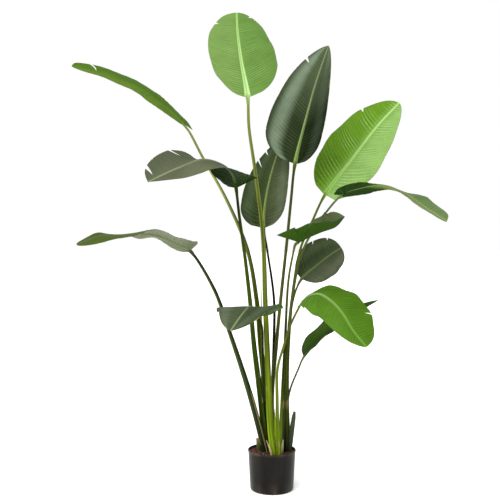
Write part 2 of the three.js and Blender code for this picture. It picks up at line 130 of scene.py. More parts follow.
# Small nicks in each half's margin: how many, and the ranges of their places, depths and half-openings
NICKS = 3
NICK_PLACES = (0.2, 0.95)
NICK_DEPTHS = (0.01, 0.03)
NICK_OPENINGS = (0.002, 0.004)

# Rolled shoots: rows, points around, the lap's two radii as shares, and the crease beside it in radians
SHOOT_ROW = 5
SHOOT_SIDES = 36
LAP_SHARES = (1.06, 0.86)
CREASE_DEPTH = 0.05
CREASE_TURN = 0.25
CREASE_WIDTH = 0.2
THINNEST_SHOOT = 0.4

# Dry strips: rows, columns, half thickness, how deep they are cupped and wrinkled, and how far set back
STRIP_ROWS = 24
STRIP_COLUMNS = 13
STRIP_HALF_THICKNESS = 0.35
STRIP_CUP = 2.2
STRIP_WRINKLE = 0.35
WRINKLES_ACROSS = 9
WRINKLES_ALONG = 7
STRIP_SETBACK = 1

# Edges that turn by less than this many degrees are smooth, on grown pieces and on turned ones
GROWN_SMOOTHING = 50
TURNED_SMOOTHING = 40

# Soil: rows, sides, and the heights of its crumbs, its mound and its two sets of lumps, with their lengths
SOIL_ROWS = 34
SOIL_SIDES = 120
SOIL_MIDDLE = 2
SOIL_CRUMB = 0.5
SOIL_SEED = 11
MOUND_HEIGHT = 2
MOUND_RADIUS = 50
LUMP_HEIGHT = 1.3
LUMP_LENGTH = 13
SMALL_LUMP_HEIGHT = 0.8
SMALL_LUMP_LENGTHS = (5.3, 7.1)

# Bark chips: how many, their sizes, their tilt in radians, and how far they keep from stems and pot
CHIPS = 520
CHIP_SEED = 5
CHIP_LENGTHS = (4, 14)
CHIP_WIDTH_SHARES = (0.25, 0.7)
CHIP_THICKNESSES = (1.2, 4.0)
CHIP_ROUGHNESS = (0.75, 1.2)
CHIP_LIFT = 1.2
CHIP_TILT = 0.4
STEM_CLEARANCE = 2
WALL_CLEARANCE = 5

# Finish scales. Veins, fibres and the pot's grain are finer in life, and are drawn coarse so that they show
VEIN_SPACING = 2.2
VEIN_RUN = 90
FIBRE_SPACING = 1.8
STRING_SPACING = 1.1
STRING_RUN = 30
STRIPE_SPACING = 5
STRIPE_RUN = 400
CLOUD_SIZE = 60
PLASTIC_GRAIN = 0.9
DUST_PATCH = 45
CRUMB_SIZE = 4.5
SOIL_LUMP_SIZE = 6

# Where dust lies on the pot: below the first height, where the paleness is also a painted reflection of the
# floor, more and more between the next two, and all over
DUST_AND_REFLECTION_FOOT = 50
DUSTY_RIM = (146, 157)
DUST_EVERYWHERE = 0.08

# The two halves' veins are read this far apart, and their tones meet over this width on each side
HALF_SHIFT = 300
HALF_BLEND = 30

# A stalk may dry along a line: its share of the half-width, where up the stalk it ends, and its edge values
DRY_LINE_SHARE = 0.75
DRY_LINE_END = (0.25, 0.4)
DRY_LINE_EDGE = 0.5
PAST_DRY_LINE = 8

# How far the stripes spread round a stalk, and how soon its two sides have their full tones, among them
# painted light on one side and painted shade on the other
STALK_GRAIN_SHARE = 0.6
STALK_SIDE_SHARE = 1.6

# Dark parts of a finish keep these shares of its red, green and blue; those of the pleats' hollows and the
# midrib's groove are painted shade
HOLLOW_SHADE_SHARES = (0.4, 0.5, 0.35, 1)
VEIN_SHARES = (0.35, 0.4, 0.3, 1)
CLOUD_SHARES = (0.72, 0.76, 0.7, 1)
GROOVE_SHADE_SHARES = (0.45, 0.6, 0.35, 1)
STALK_FIBRE_SHARES = (0.4, 0.4, 0.3, 1)
SHOOT_FIBRE_SHARES = (0.35, 0.35, 0.25, 1)

# Furrows between the veins show no more strongly than this
VEIN_STRENGTH = 0.4

# Waxy skins hardly mirror the pale room
WAX_SPECULAR = 0.04

# Studio: brightness of its lights, the key light's turns and softness in degrees, and the floor in metres
ROOM_LIGHT = 1.0
FRONT_SHARE = 0.72
CEILING_LIGHT = 0.6
WINDOW_LIGHT = 1.6
WINDOW_WAY = (-0.85, -0.45, 0.28)
KEY_LIGHT = 2.3
KEY_TURNS = (42, -30, 0)
KEY_SOFTNESS = 40
FLOOR_GLOW = 0.33
FLOOR_WIDTH = 600

# What a leaf has unless its entry says otherwise: the height of its margin's waves, and no tears
PLAIN_LEAF = {"wave": 6, "tears": []}

# The same for half a blade: how far it runs back past its foot, and its angle and curl in degrees
PLAIN_HALF = {"lobe": 0, "rise": (0, 0), "curl": (-14, -14)}

# The same for a leaf's look: pleat spacing, midrib band, strengths of the painted highlights and shade on
# the pleats, and the tones that only some have: painted shade, a tip tone, a painted sheen band, painted
# light and shade on the stalk's sides, dry edges
PLAIN_LOOK = {
    "pleat": 12,
    "band": (6.5, 2.5),
    "lines": (0.3, 0.35),
    "shaded": ("#000000", -2.0, -1.0),
    "tip": ("#000000", 0.0),
    "painted_sheen": (0.0, 0.0),
    "painted_sheen_tone": "#8a9685",
    "stalk_side_light_and_shade": (1.0, 1.0),
    "dry_edge": (0.0, 0.0),
}

# Each leaf: points of its stalk and midrib, radii, ways its upper side faces, its two halves, and its tears
LEAVES = {
    "leaf_top": {
        "stalk": [
            (5, -54, 158), (-6, -51, 245), (-14, -46, 415), (-27, -36, 750), (-36, -25, 1005),
            (-67, -5, 1265), (-91, 10, 1438),
        ],
        "midrib": [(-96, 25, 1560), (-123, 125, 1731), (-140, 220, 1880), (-145, 300, 1985)],
        "radii": (12.5, 11.5, 5.5),
        "faces": [(0, -1, 0.3), (0, -1, 0.5)],
        "left": {"reach": 131, "widest": 0.62, "blunt": 0.38, "rise": (6, 0, -4)},
        "right": {"reach": 150, "widest": 0.4, "blunt": 0.46, "rise": (6, 0, -4)},
        "tears": [("left", 0.9, 0.16), ("right", 0.95, 0.2)],
    },
    "leaf_tall_right": {
        "stalk": [(13, 3, 158), (1, 6, 350), (18, 5, 570), (35, 0, 750), (60, -10, 988), (75, -20, 1145)],
        "midrib": [(90, -30, 1287), (128, -45, 1446), (169, -60, 1596), (218, -70, 1740)],
        "radii": (9, 8, 5),
        "faces": [(0.15, 1, 0.1), (0.1, 1, 0.1)],
        "left": {"reach": 78, "widest": 0.26, "blunt": 0.72, "rise": (8, 4, 0), "curl": (-10, -10)},
        "right": {"reach": 145, "widest": 0.25, "blunt": 0.72, "rise": (8, 4, 0), "curl": (-10, -10)},
        "tears": [("right", 0.85, 0.25)],
    },
    "leaf_bright_right": {
        "stalk": [
            (50, 25, 158), (55, 25, 350), (65, 22, 590), (80, 22, 750), (115, 35, 950), (165, 50, 1065),
        ],
        "midrib": [(217, 60, 1172), (333, 110, 1323), (446, 160, 1467), (545, 200, 1572)],
        "radii": (9, 6, 4.5),
        "faces": [(-0.2, -1, 0.3), (-0.2, -1, 0.5)],
        "left": {"reach": 146, "widest": 0.48, "blunt": 0.48, "rise": (6, 0, -4)},
        "right": {"reach": 116, "widest": 0.34, "blunt": 0.62, "lobe": 25, "rise": (6, 0, -4)},
        "tears": [("left", 0.8, 0.15)],
    },
    "leaf_far_left": {
        "stalk": [
            (-22, 36, 158), (-24, 35, 346), (-44, 40, 566), (-60, 45, 747), (-97, 50, 948),
            (-181, 60, 1150), (-277, 65, 1321),
        ],
        "midrib": [
            (-352, 65, 1455), (-435, 60, 1530), (-521, 55, 1595), (-659, 45, 1655), (-801, 30, 1688),
        ],
        "radii": (12.5, 12, 5.5),
        "wave": 1.5,
        "faces": [(0.3, -0.42, 1), (0.2, -0.5, 1), (0.2, -0.6, 1)],
        "left": {"reach": 60, "widest": 0.45, "blunt": 0.4, "lobe": 5, "rise": (0, 6, 6)},
        "right": {"reach": 100, "widest": 0.5, "blunt": 0.3, "lobe": 60, "rise": (0, 0, 4)},
        "tears": [("right", 0.88, 1.0)],
    },
    "leaf_folded_left": {
        "stalk": [
            (-24, 10, 158), (-49, -8, 395), (-71, -16, 573), (-87, -22, 750), (-110, -38, 948),
            (-129, -52, 1085),
        ],
        "midrib": [
            (-141, -72, 1190), (-145, -96, 1206), (-155, -150, 1235), (-190, -200, 1263),
            (-259, -235, 1279), (-349, -250, 1246), (-458, -255, 1195),
        ],
        "radii": (11.5, 11.5, 5),
        "faces": [
            (0, -0.45, -0.9), (-0.5, 0, -0.7), (-0.35, 0.57, -0.7), (-0.05, 0.95, -0.12), (0, 1, 0.1),
        ],
        "left": {
            "reach": 92, "widest": 0.55, "blunt": 0.3, "lobe": 10,
            "rise": (0, 35, 50, 15, 0), "curl": (0, 0),
        },
        "right": {"reach": 92, "widest": 0.06, "blunt": 1, "lobe": -30, "rise": (-8, -13, 0, 8, 0)},
        "tears": [("left", 0.74, 0.4), ("left", 0.96, 0.7)],
    },
    "leaf_low_left": {
        "stalk": [
            (-29, -14, 158), (-46, -24, 230), (-81, -48, 364), (-118, -66, 487), (-163, -80, 623),
            (-224, -85, 794),
        ],
        "midrib": [
            (-318, -90, 945), (-362, -120, 970), (-420, -160, 998), (-477, -200, 1010), (-551, -240, 1006),
            (-629, -270, 999), (-709, -290, 968),
        ],
        "radii": (14, 12, 5.5),
        "faces": [
            (0.2, 0.9, 0.4), (0.1, 0.32, 1), (0, 0.27, 1), (0, 0.08, 1), (0, -0.28, 1), (0, -0.35, 1),
        ],
        "left": {"reach": 112, "widest": 0.25, "blunt": 0.5, "lobe": 10, "rise": (-8, 0, 0)},
        "right": {"reach": 84, "widest": 0.44, "blunt": 0.5, "lobe": 4, "rise": (18, 14, 0, 0)},
        "tears": [("left", 0.5, 0.3)],
    },
    "leaf_centre_back": {
        "stalk": [(6, 32, 158), (3, 36, 350), (9, 42, 566), (10, 46, 747), (-17, 55, 948)],
        "midrib": [(-31, 60, 1038), (-26, 66, 1131), (-7, 72, 1233), (19, 78, 1323), (40, 82, 1393)],
        "radii": (9, 7, 4),
        "faces": [(0.1, 1, 0.1), (0.1, 1, 0)],
        "left": {"reach": 84, "widest": 0.32, "blunt": 0.5},
        "right": {"reach": 98, "widest": 0.22, "blunt": 0.68},
        "tears": [("right", 0.72, 0.35), ("right", 0.84, 0.3)],
    },
    "leaf_arching_right": {
        "stalk": [
            (55, -15, 158), (57, -16, 356), (67, -20, 593), (85, -20, 790), (122, -25, 948),
            (188, -32, 1062),
        ],
        "midrib": [
            (270, -40, 1160), (326, -60, 1183), (436, -85, 1197), (522, -105, 1158), (590, -115, 1106),
            (664, -120, 1058),
        ],
        "wave": 2,
        "radii": (9, 6, 4.5),
        "faces": [(-0.35, -0.7, 0.8), (0, -0.45, 1), (0, -0.3, 1), (0.2, -0.55, 1), (0.3, -0.75, 1)],
        "left": {"reach": 93, "widest": 0.3, "blunt": 0.2, "lobe": 46, "rise": (0, -3, -13, 8, 6)},
        "right": {"reach": 80, "widest": 0.4, "blunt": 0.3, "rise": (20, 4, 14, 20, 24)},
        "tears": [("left", 0.5, 0.3)],
    },
    "leaf_small_right": {
        "stalk": [
            (33, -20, 158), (40, -25, 357), (50, -40, 576), (62, -80, 832), (77, -97, 925), (88, -107, 970),
        ],
        "midrib": [
            (96, -110, 975), (112, -117, 980), (134, -125, 992), (187, -125, 1015), (242, -115, 1036),
            (278, -100, 1075),
        ],
        "radii": (10, 7, 4),
        "faces": [(0, -0.9, -0.45), (0, -0.7, -0.6), (0, -0.7, -0.7), (0, -0.6, -0.8)],
        "left": {"reach": 62, "widest": 0.03, "blunt": 0.8, "lobe": 85},
        "right": {"reach": 68, "widest": 0.75, "blunt": 0.35, "rise": (-60, -95, -105), "curl": (-50, -50)},
        "tears": [("left", 0.36, 0.35), ("left", 0.7, 0.3)],
    },
    "leaf_round_right": {
        "stalk": [(70, 21, 158), (65, 36, 347), (70, 42, 566), (87, 50, 746)],
        "midrib": [(122, 60, 831), (180, 70, 882), (235, 75, 925), (285, 80, 958)],
        "radii": (8, 5.5, 4),
        "faces": [(0, 1, 0.1), (0, 1, 0.1)],
        "left": {"reach": 75, "widest": 0.56, "blunt": 0.36},
        "right": {"reach": 95, "widest": 0.45, "blunt": 0.42},
        "tears": [("right", 0.62, 0.15), ("right", 0.86, 0.15)],
    },
    "leaf_left_front": {
        "stalk": [(-3, 14, 158), (-21, 0, 353), (-34, -12, 480), (-37, -25, 560), (-42, -55, 656)],
        "midrib": [
            (-58, -75, 689), (-72, -150, 718), (-87, -240, 742), (-119, -320, 714), (-155, -350, 664),
        ],
        "radii": (8.5, 7, 4.5),
        "faces": [(0, -0.6, -0.8), (0, 0, -1), (0, 0.6, -0.8), (0, 1, -0.2)],
        "left": {"reach": 130, "widest": 0.4, "blunt": 0.45, "rise": (0, 5, 14), "curl": (0, 22)},
        "right": {"reach": 113, "widest": 0.25, "blunt": 0.9, "lobe": 18},
    },
    "leaf_front_right": {
        "stalk": [
            (24, -66, 158), (19, -60, 364), (20, -70, 487), (45, -80, 581), (66, -92, 652),
            (101, -100, 727),
        ],
        "midrib": [
            (124, -108, 764), (168, -150, 783), (208, -205, 763), (245, -265, 722), (284, -305, 656),
            (325, -330, 605),
        ],
        "radii": (9, 7, 5),
        "faces": [(-0.2, -0.3, 1), (-0.1, -0.7, 0.8), (0, -0.9, 0.6), (0, -1, 0.5)],
        "left": {"reach": 94, "widest": 0.64, "blunt": 0.4, "lobe": 30, "rise": (0, 8, 10)},
        "right": {"reach": 90, "widest": 0.25, "blunt": 0.75, "lobe": 55},
        "tears": [("left", 0.73, 0.22)],
    },
    "leaf_low_right": {
        "stalk": [(58, 48, 158), (70, 48, 364), (108, 43, 469)],
        "midrib": [(131, 40, 520), (205, 60, 592), (313, 85, 670), (439, 110, 742)],
        "radii": (8, 5, 4),
        "faces": [(-0.5, -0.6, 0.6), (-0.5, -0.6, 0.6)],
        "left": {"reach": 78, "widest": 0.35, "blunt": 0.9},
        "right": {"reach": 80, "widest": 0.35, "blunt": 0.9, "rise": (48, 48, 48)},
    },
}

# Each leaf's colours: its two halves above and below, its midrib from foot to tip, and its stalk upwards.
# The blade tones are partly painted light and shade: each leaf and each half is a lighter or darker copy of
# its colour as the light falls on it
LEAF_LOOKS = {
    "leaf_top": {
        "slot": "leaf_fresh",
        "upper": ("#627f40", "#5a7b38"),
        "under": ("#5c7645", "#5c7645"),
        "rib": ("#a2c280", "#8cac66"),
        "band": (12, 3.5),
        "lines": (0.7, 0.3),
        "stalk": ("#6e8512", "#4b5712", "#707a38"),
    },
    "leaf_tall_right": {
        "slot": "leaf_deep",
        "upper": ("#3f5f1c", "#3f5f1c"),
        # Its left half below is painted dark as shade, and its right half carries most of the painted sheen
        "under": ("#0e1804", "#232d16"),
        "painted_sheen": (0.1, 0.8),
        "painted_sheen_tone": "#6c7a66",
        "rib": ("#6e8643", "#6a7854"),
        "band": (8, 2),
        "lines": (0.15, 0.6),
        "tip": ("#57634a", 0.5),
        "stalk": ("#6c7420", "#434a1b", "#2a310b"),
    },
    "leaf_bright_right": {
        "slot": "leaf_fresh",
        "upper": ("#547a19", "#7b9d55"),
        "under": ("#6c8748", "#6c8748"),
        "rib": ("#7aa048", "#98bb73"),
        "band": (9, 3),
        "lines": (0.75, 0.3),
        "pleat": 15,
        "stalk": ("#3d4e13", "#3b4806", "#4d561c"),
    },
    "leaf_far_left": {
        "slot": "leaf_mid",
        "upper": ("#5a7626", "#446804"),
        "under": ("#5c6944", "#5c6944"),
        "rib": ("#5c7c26", "#4c6a10"),
        "stalk": ("#0c1402", "#394402", "#757f42"),
    },
    "leaf_folded_left": {
        "slot": "leaf_deep",
        # Its upper tones are painted almost black as shade
        "upper": ("#0e2001", "#182f01"),
        "under": ("#4c523f", "#535742"),
        "rib": ("#1e4004", "#788064"),
        "lines": (0.15, 0.25),
        "stalk": ("#30400a", "#2b3d09", "#303d04"),
    },
    "leaf_low_left": {
        "slot": "leaf_mid",
        "upper": ("#405014", "#354809"),
        "under": ("#6b7157", "#72765c"),
        "rib": ("#73845e", "#5c6448"),
        "lines": (0.15, 0.2),
        "stalk": ("#121c0a", "#2f3c1c", "#35401f"),
        # Its stalk's left side is painted darker as shade and its right side lighter as light
        "stalk_side_light_and_shade": (0.45, 1.25),
        "dry_edge": (1.0, 0.0),
    },
    "leaf_centre_back": {
        "slot": "leaf_deep",
        "upper": ("#3f5f1c", "#3f5f1c"),
        "under": ("#424931", "#2f3c1e"),
        "painted_sheen": (0.3, 0.2),
        "painted_sheen_tone": "#646f5a",
        "rib": ("#7e944a", "#657448"),
        "lines": (0.2, 0.45),
        "stalk": ("#1b240a", "#151902", "#0d1501"),
    },
    "leaf_arching_right": {
        "slot": "leaf_deep",
        "upper": ("#466229", "#6c7832"),
        "under": ("#4a5a36", "#4a5a36"),
        # Its foot is painted dark as shade, by the shaded tone and the midrib's first tone, and its far
        # part lighter as light by the tip tone
        "shaded": ("#162c06", 1.4, 1.52),
        "tip": ("#788c60", 0.5),
        "rib": ("#102403", "#98b27a"),
        "band": (6, 1.5),
        "lines": (0.05, 0.35),
        "stalk": ("#070b01", "#444d16", "#586333"),
    },
    "leaf_small_right": {
        "slot": "leaf_deep",
        # Its upper tone is painted dark as shade, for that side faces down
        "upper": ("#2c4610", "#2c4610"),
        "under": ("#505a3e", "#4b5537"),
        "rib": ("#2e420c", "#122503"),
        "stalk": ("#596622", "#323e04", "#4d5629"),
    },
    "leaf_round_right": {
        "slot": "leaf_deep",
        "upper": ("#3f5f1c", "#3f5f1c"),
        "under": ("#474d3b", "#303b22"),
        "painted_sheen": (0.25, 0.15),
        "painted_sheen_tone": "#6a715b",
        "rib": ("#566838", "#566440"),
        "lines": (0.15, 0.35),
        "stalk": ("#4c5421", "#2b3c0d", "#4a5229"),
    },
    "leaf_left_front": {
        "slot": "leaf_deep",
        "upper": ("#32500f", "#32500f"),
        "under": ("#434b36", "#354028"),
        "painted_sheen": (0.3, 0.2),
        "painted_sheen_tone": "#6e7964",
        "rib": ("#6c7d59", "#727f5c"),
        "lines": (0.2, 0.3),
        "stalk": ("#6c7c1c", "#334001", "#283700"),
    },
    "leaf_front_right": {
        "slot": "leaf_fresh",
        "upper": ("#3f6112", "#486c1b"),
        "under": ("#5c7645", "#5c7645"),
        "rib": ("#809466", "#5d8130"),
        "band": (8, 3),
        "lines": (0.35, 0.4),
        "stalk": ("#526905", "#4a5612", "#4a511e"),
    },
    "leaf_low_right": {
        "slot": "leaf_deep",
        # Its upper tones are painted dark as shade
        "upper": ("#324a12", "#143302"),
        "under": ("#3f4d2c", "#3f4d2c"),
        "rib": ("#3c541f", "#0a1c01"),
        "stalk": ("#26330e", "#3a4a1a", "#5a673a"),
    },
}

# Each shoot: middle line, half-widths upwards, depth as a share of width, and turns of its rolled edge
SHOOTS = {
    "spear_leaf": {
        "course": [(-41, 20, 158), (-40, 13, 570), (-42, 4, 750), (-43, 0, 865)],
        "radii": (4.5, 3.5, 3.2, 0.8),
        "depth_ratio": 1,
        "turns": 0.8,
        "slot": "shoot_green",
        "colours": ("#3f4d14", "#5c6c19", "#7c9330"),
    },
    "new_spear": {
        "course": [(14, -25, 158), (13, -25, 240), (11, -25, 323)],
        "radii": (6, 5, 1),
        "depth_ratio": 1,
        "turns": 0.5,
        "slot": "leaf_fresh",
        "colours": ("#7d9a10", "#8bae1c", "#a0c034"),
    },
    "young_shoot": {
        "course": [(70, 2, 158), (78, 2, 225), (90, 2, 306)],
        "radii": (9.5, 10.5, 10.5, 10, 9.5, 8.5, 5),
        "depth_ratio": 0.8,
        "turns": 0.3,
        "slot": "leaf_deep",
        "colours": ("#2c3620", "#37422b", "#3c462c"),
    },
    "cut_stalk": {
        "course": [(-52, 4, 158), (-54, 4, 180), (-56, 4, 200)],
        "radii": (8.5, 8.5, 8),
        "depth_ratio": 0.8,
        "turns": 0.1,
        "slot": "shoot_green",
        "colours": ("#353d20", "#4a4d28", "#7a6b45"),
    },
}

# Each dry strip of sheath: middle line, and half-widths upwards
DRY_SHEATHS = {
    "dry_sheath_left": {
        "course": [(-3, -76, 158), (-12, -77, 184), (-23, -75, 211)],
        "radii": (4, 3.8, 2.4, 0.8),
        "colours": ("#8b8250", "#958a62", "#a89f7c"),
    },
    "dry_sheath_right": {
        "course": [(37, -72, 158), (39, -73, 185), (42, -70, 213)],
        "radii": (4, 4.8, 3.5, 0.8),
        "colours": ("#33301a", "#5f5c3a", "#8d8a62"),
    },
}


# Columns of a leaf's section, the side of each, and its share over the midrib and over the blade beyond
COLUMNS = np.arange(-HALF_COLUMNS, HALF_COLUMNS + 1)
SIDES = np.where(COLUMNS < 0, -1, 1)
OVER_RIB = np.clip(np.abs(COLUMNS) / RIB_COLUMNS, 0, 1)
BEYOND_RIB = np.clip((np.abs(COLUMNS) - RIB_COLUMNS) / (HALF_COLUMNS - RIB_COLUMNS), 0, 1)


def between(values, share):
    """Value at a share from 0 to 1 of the way through values that are spread evenly"""
    return np.interp(share, np.linspace(0, 1, len(values)), values)


def eased(values, low, high):
    """0 below low, 1 above high, and a smooth rise between them"""
    share = np.clip((values - low) / (high - low), 0, 1)
    return share * share * (3 - 2 * share)


def mixed(start, end, share):
    return start + (end - start) * share


def unit(ways):
    return ways / np.linalg.norm(ways, axis=-1, keepdims=True)


def spline(places, shares):
    """Points of the centripetal spline through places, at shares from 0 to 1"""
    places = np.array(places, float)
    scaled = np.clip(shares, 0, 1) * (len(places) - 1)
    lower = np.minimum(scaled.astype(int), len(places) - 2)
    part = (scaled - lower)[:, None]
    longer = np.vstack([2 * places[0] - places[1], places, 2 * places[-1] - places[-2]])
    before, start, end, after = (longer[lower + step] for step in range(4))
    gaps = []
    for near, far in ((before, start), (start, end), (end, after)):
        gaps.append(np.sqrt(np.linalg.norm(far - near, axis=1))[:, None])
    gap = np.where(gaps[1] < NEARBY, 1, gaps[1])
    gap_before = np.where(gaps[0] < NEARBY, gap, gaps[0])
    gap_after = np.where(gaps[2] < NEARBY, gap, gaps[2])
    leave = (start - before) / gap_before - (end - before) / (gap_before + gap) + (end - start) / gap
    arrive = (end - start) / gap - (after - start) / (gap + gap_after) + (after - end) / gap_after
    leave, arrive = leave * gap, arrive * gap
    square = -3 * start + 3 * end - 2 * leave - arrive
    cube = 2 * start - 2 * end + leave + arrive
    return start + part * (leave + part * (square + part * cube))


class Course:
    """Middle line of a stem, with the way that its upper side faces along it: a shoot's is the front"""

    def __init__(self, places, faces=((0, -1, 0), (0, -1, 0))):
        self.places = places
        self.faces = faces
        self.shares = np.linspace(0, 1, CURVE_STEPS * (len(places) - 1) + 1)
        steps = np.diff(spline(places, self.shares), axis=0)
        self.distances = np.concatenate([[0], np.cumsum(np.linalg.norm(steps, axis=1))])
        self.length = self.distances[-1]

    def frames(self, distances, face_shares):
        """Centre, and unit ways ahead, up and to the right, at distances along the line"""
        shares = np.interp(distances, self.distances, self.shares)
        centre = spline(self.places, shares)
        ahead = unit(spline(self.places, shares + NEARBY) - spline(self.places, shares - NEARBY))
        up = spline(self.faces, face_shares)
        up = unit(up - ahead * np.sum(up * ahead, axis=1, keepdims=True))
        return centre, ahead, up, np.cross(ahead, up)

    def sections(self, distances, across, lift):
        """Points of sections at distances along the line, from how far they are across and up"""
        centre, _, up, right = self.frames(distances, np.zeros(len(distances)))
        return centre[:, None] + across[..., None] * right[:, None] + lift[..., None] * up[:, None]


def by_half(leaf, side, value):
    """What value gives for the leaf's left half where side is negative, and for its right half elsewhere"""
    return np.where(side < 0, value(leaf["left"]), value(leaf["right"]))


def blade_outline(half, place):
    """Half-width of the blade against its widest, from its foot (0) to its tip (1)"""
    rising = np.sqrt(1 - (1 - np.minimum(place / half["widest"], 1)) ** 2)
    to_tip = np.clip((place - half["widest"]) / (1 - half["widest"]), 0, 1)
    return np.where(place < half["widest"], rising, (1 - to_tip**TIP_POWER) ** half["blunt"])


def blade_places(leaf, blade_length):
    """Places of the blade's rows, with three at every tear"""
    rows = round(blade_length / BLADE_ROW)
    places = list(np.linspace(FIRST_PLACE, 1 - 2 * TIP_STEPS[0], rows))
    places += [1 - step for step in TIP_STEPS]
    for _, place, _ in leaf["tears"]:
        places = [row for row in places if abs(row - place) > TEAR_CLEARANCE * TEAR_OPENING]
        places += [place - TEAR_OPENING / 2, place, place + TEAR_OPENING / 2]
    return np.array(sorted(places))


def torn_share(half, places, chance):
    """Share of a half's reach that is missing at places, from its tears and from a few small nicks"""
    missing = np.zeros(len(places))
    cuts = [(place, depth, TEAR_OPENING / 2) for place, depth in half["tears"]]
    for _ in range(NICKS):
        cuts.append([chance.uniform(*limits) for limits in (NICK_PLACES, NICK_DEPTHS, NICK_OPENINGS)])
    for place, depth, opening in cuts:
        missing = np.maximum(missing, depth * np.clip(1 - np.abs(places - place) / opening, 0, 1))
    return missing[:, None]


def rib_crown(reach, rib_radius):
    """Round of the midrib's section, from 1 in its middle to 0 at its sides and on the blade"""
    rounded_off = 0.5 + 0.5 * np.cos(np.pi * np.minimum(reach / rib_radius, 1))
    return np.where(reach < rib_radius, rounded_off, 0)


def blade_points(leaf, line, start, distance, reach, depth):
    """Points of the blade's surface, pushed down by depth along the blade's own normal"""
    shape = reach.shape
    side = np.broadcast_to(SIDES, shape)
    place = np.clip((distance - start) / (line.length - start), 0, 1)
    centre, ahead, up, right = (
        way.reshape(*shape, 3)
        for way in line.frames(np.maximum(distance, start).ravel(), place.ravel())
    )
    rise = by_half(leaf, side, lambda half: between(half["rise"], place))
    share = reach / by_half(leaf, side, lambda half: half["reach"])
    curl = by_half(leaf, side, lambda half: between(half["curl"], place)) * share
    slope = np.radians(rise + curl / 2)
    bend = np.radians(rise + curl)
    wave_turn = 2 * np.pi * (WAVES_PER_BLADE * place + WAVE_SHIFT * side)
    wave = leaf["wave"] * share**2 * np.sin(wave_turn)
    across = side * (reach * np.cos(slope) + depth * np.sin(bend))
    lift = reach * np.sin(slope) + wave - depth * np.cos(bend)
    behind = np.minimum(distance - start, 0)
    return centre + behind[..., None] * ahead + across[..., None] * right + lift[..., None] * up


def spread_over(shape, values):
    """Each value at every point of a grid of rows and columns"""
    return {key: np.broadcast_to(value, shape) for key, value in values.items()}


def blade_rings(leaf, look, line, start, places, chance):
    """Points of the blade's upper and lower side, with the values that its finish reads"""
    blade_length = line.length - start
    place = places[:, None]
    rib_radius = mixed(leaf["radii"][2], RIB_TIP_RADIUS, place)
    reached = start + place * blade_length
    root = reached - VEIN_SLANT * np.sin(np.pi * place) * blade_length
    missing = by_half(leaf, SIDES, lambda half: torn_share(half, places, chance))
    outline = by_half(leaf, SIDES, lambda half: blade_outline(half, place))
    widest = by_half(leaf, SIDES, lambda half: half["reach"])
    lobe = by_half(leaf, SIDES, lambda half: half["lobe"])

    # Reach of each point from the midrib, and its distance along the leaf by the slant of the side veins
    full = np.maximum(widest * outline, rib_radius * NARROWEST_RATIO)
    reachable = np.maximum(full * (1 - missing), rib_radius)
    rib_reach = np.minimum(rib_radius, reachable * RIB_LARGEST_SHARE)
    reach = rib_reach * OVER_RIB + (reachable - rib_reach) * BEYOND_RIB
    margin = reached - lobe * (1 - place) ** LOBE_FALL
    outward = reach / full
    distance = mixed(root, margin, outward * (1 - VEIN_BEND) + VEIN_BEND * outward**3)

    # Relief that both faces share, and the groove above or the ridge below the midrib
    spread = reach / widest
    phase = chance.uniform(0, 2 * np.pi)
    drift = PLEAT_DRIFT * np.sin(root / PLEAT_DRIFT_LENGTH + phase)
    pleat_turn = 2 * np.pi * root / look["pleat"] + drift + PLEAT_OFFSET * np.where(COLUMNS < 0, 1, 0)
    strength = 1 - PLEAT_FADE + PLEAT_FADE * np.sin(root / PLEAT_FADE_LENGTH + phase)
    pleats = np.sin(pleat_turn) * strength
    pillow_turn = 2 * np.pi * root / PILLOW_LENGTH + PILLOW_SLANT * spread * SIDES + phase
    pillows = np.sin(pillow_turn) * eased(spread, *PILLOW_RISE)
    relief = PILLOW_HEIGHT * pillows * (1 - place) - PLEAT_HEIGHT * pleats * eased(spread, *PLEAT_RISE)
    crown = rib_radius * rib_crown(reach, rib_radius)
    depths = (relief + RIB_GROOVE * crown, relief + BLADE_THICKNESS + RIB_DEPTH_RATIO * crown)
    rings = [blade_points(leaf, line, start, distance, reach, depth) for depth in depths]
    return rings, spread_over(reach.shape, {
        "grain_across": root + np.where(COLUMNS < 0, HALF_SHIFT, 0),
        "grain_along": reach,
        "pleat": pleats,
        "rib": reach / mixed(*look["band"], place**0.7),
        "growth": 1 + place,
        "edge": reachable - reach,
        "spread": outward,
        "side": np.clip(SIDES * reach / HALF_BLEND, -1, 1),
    })


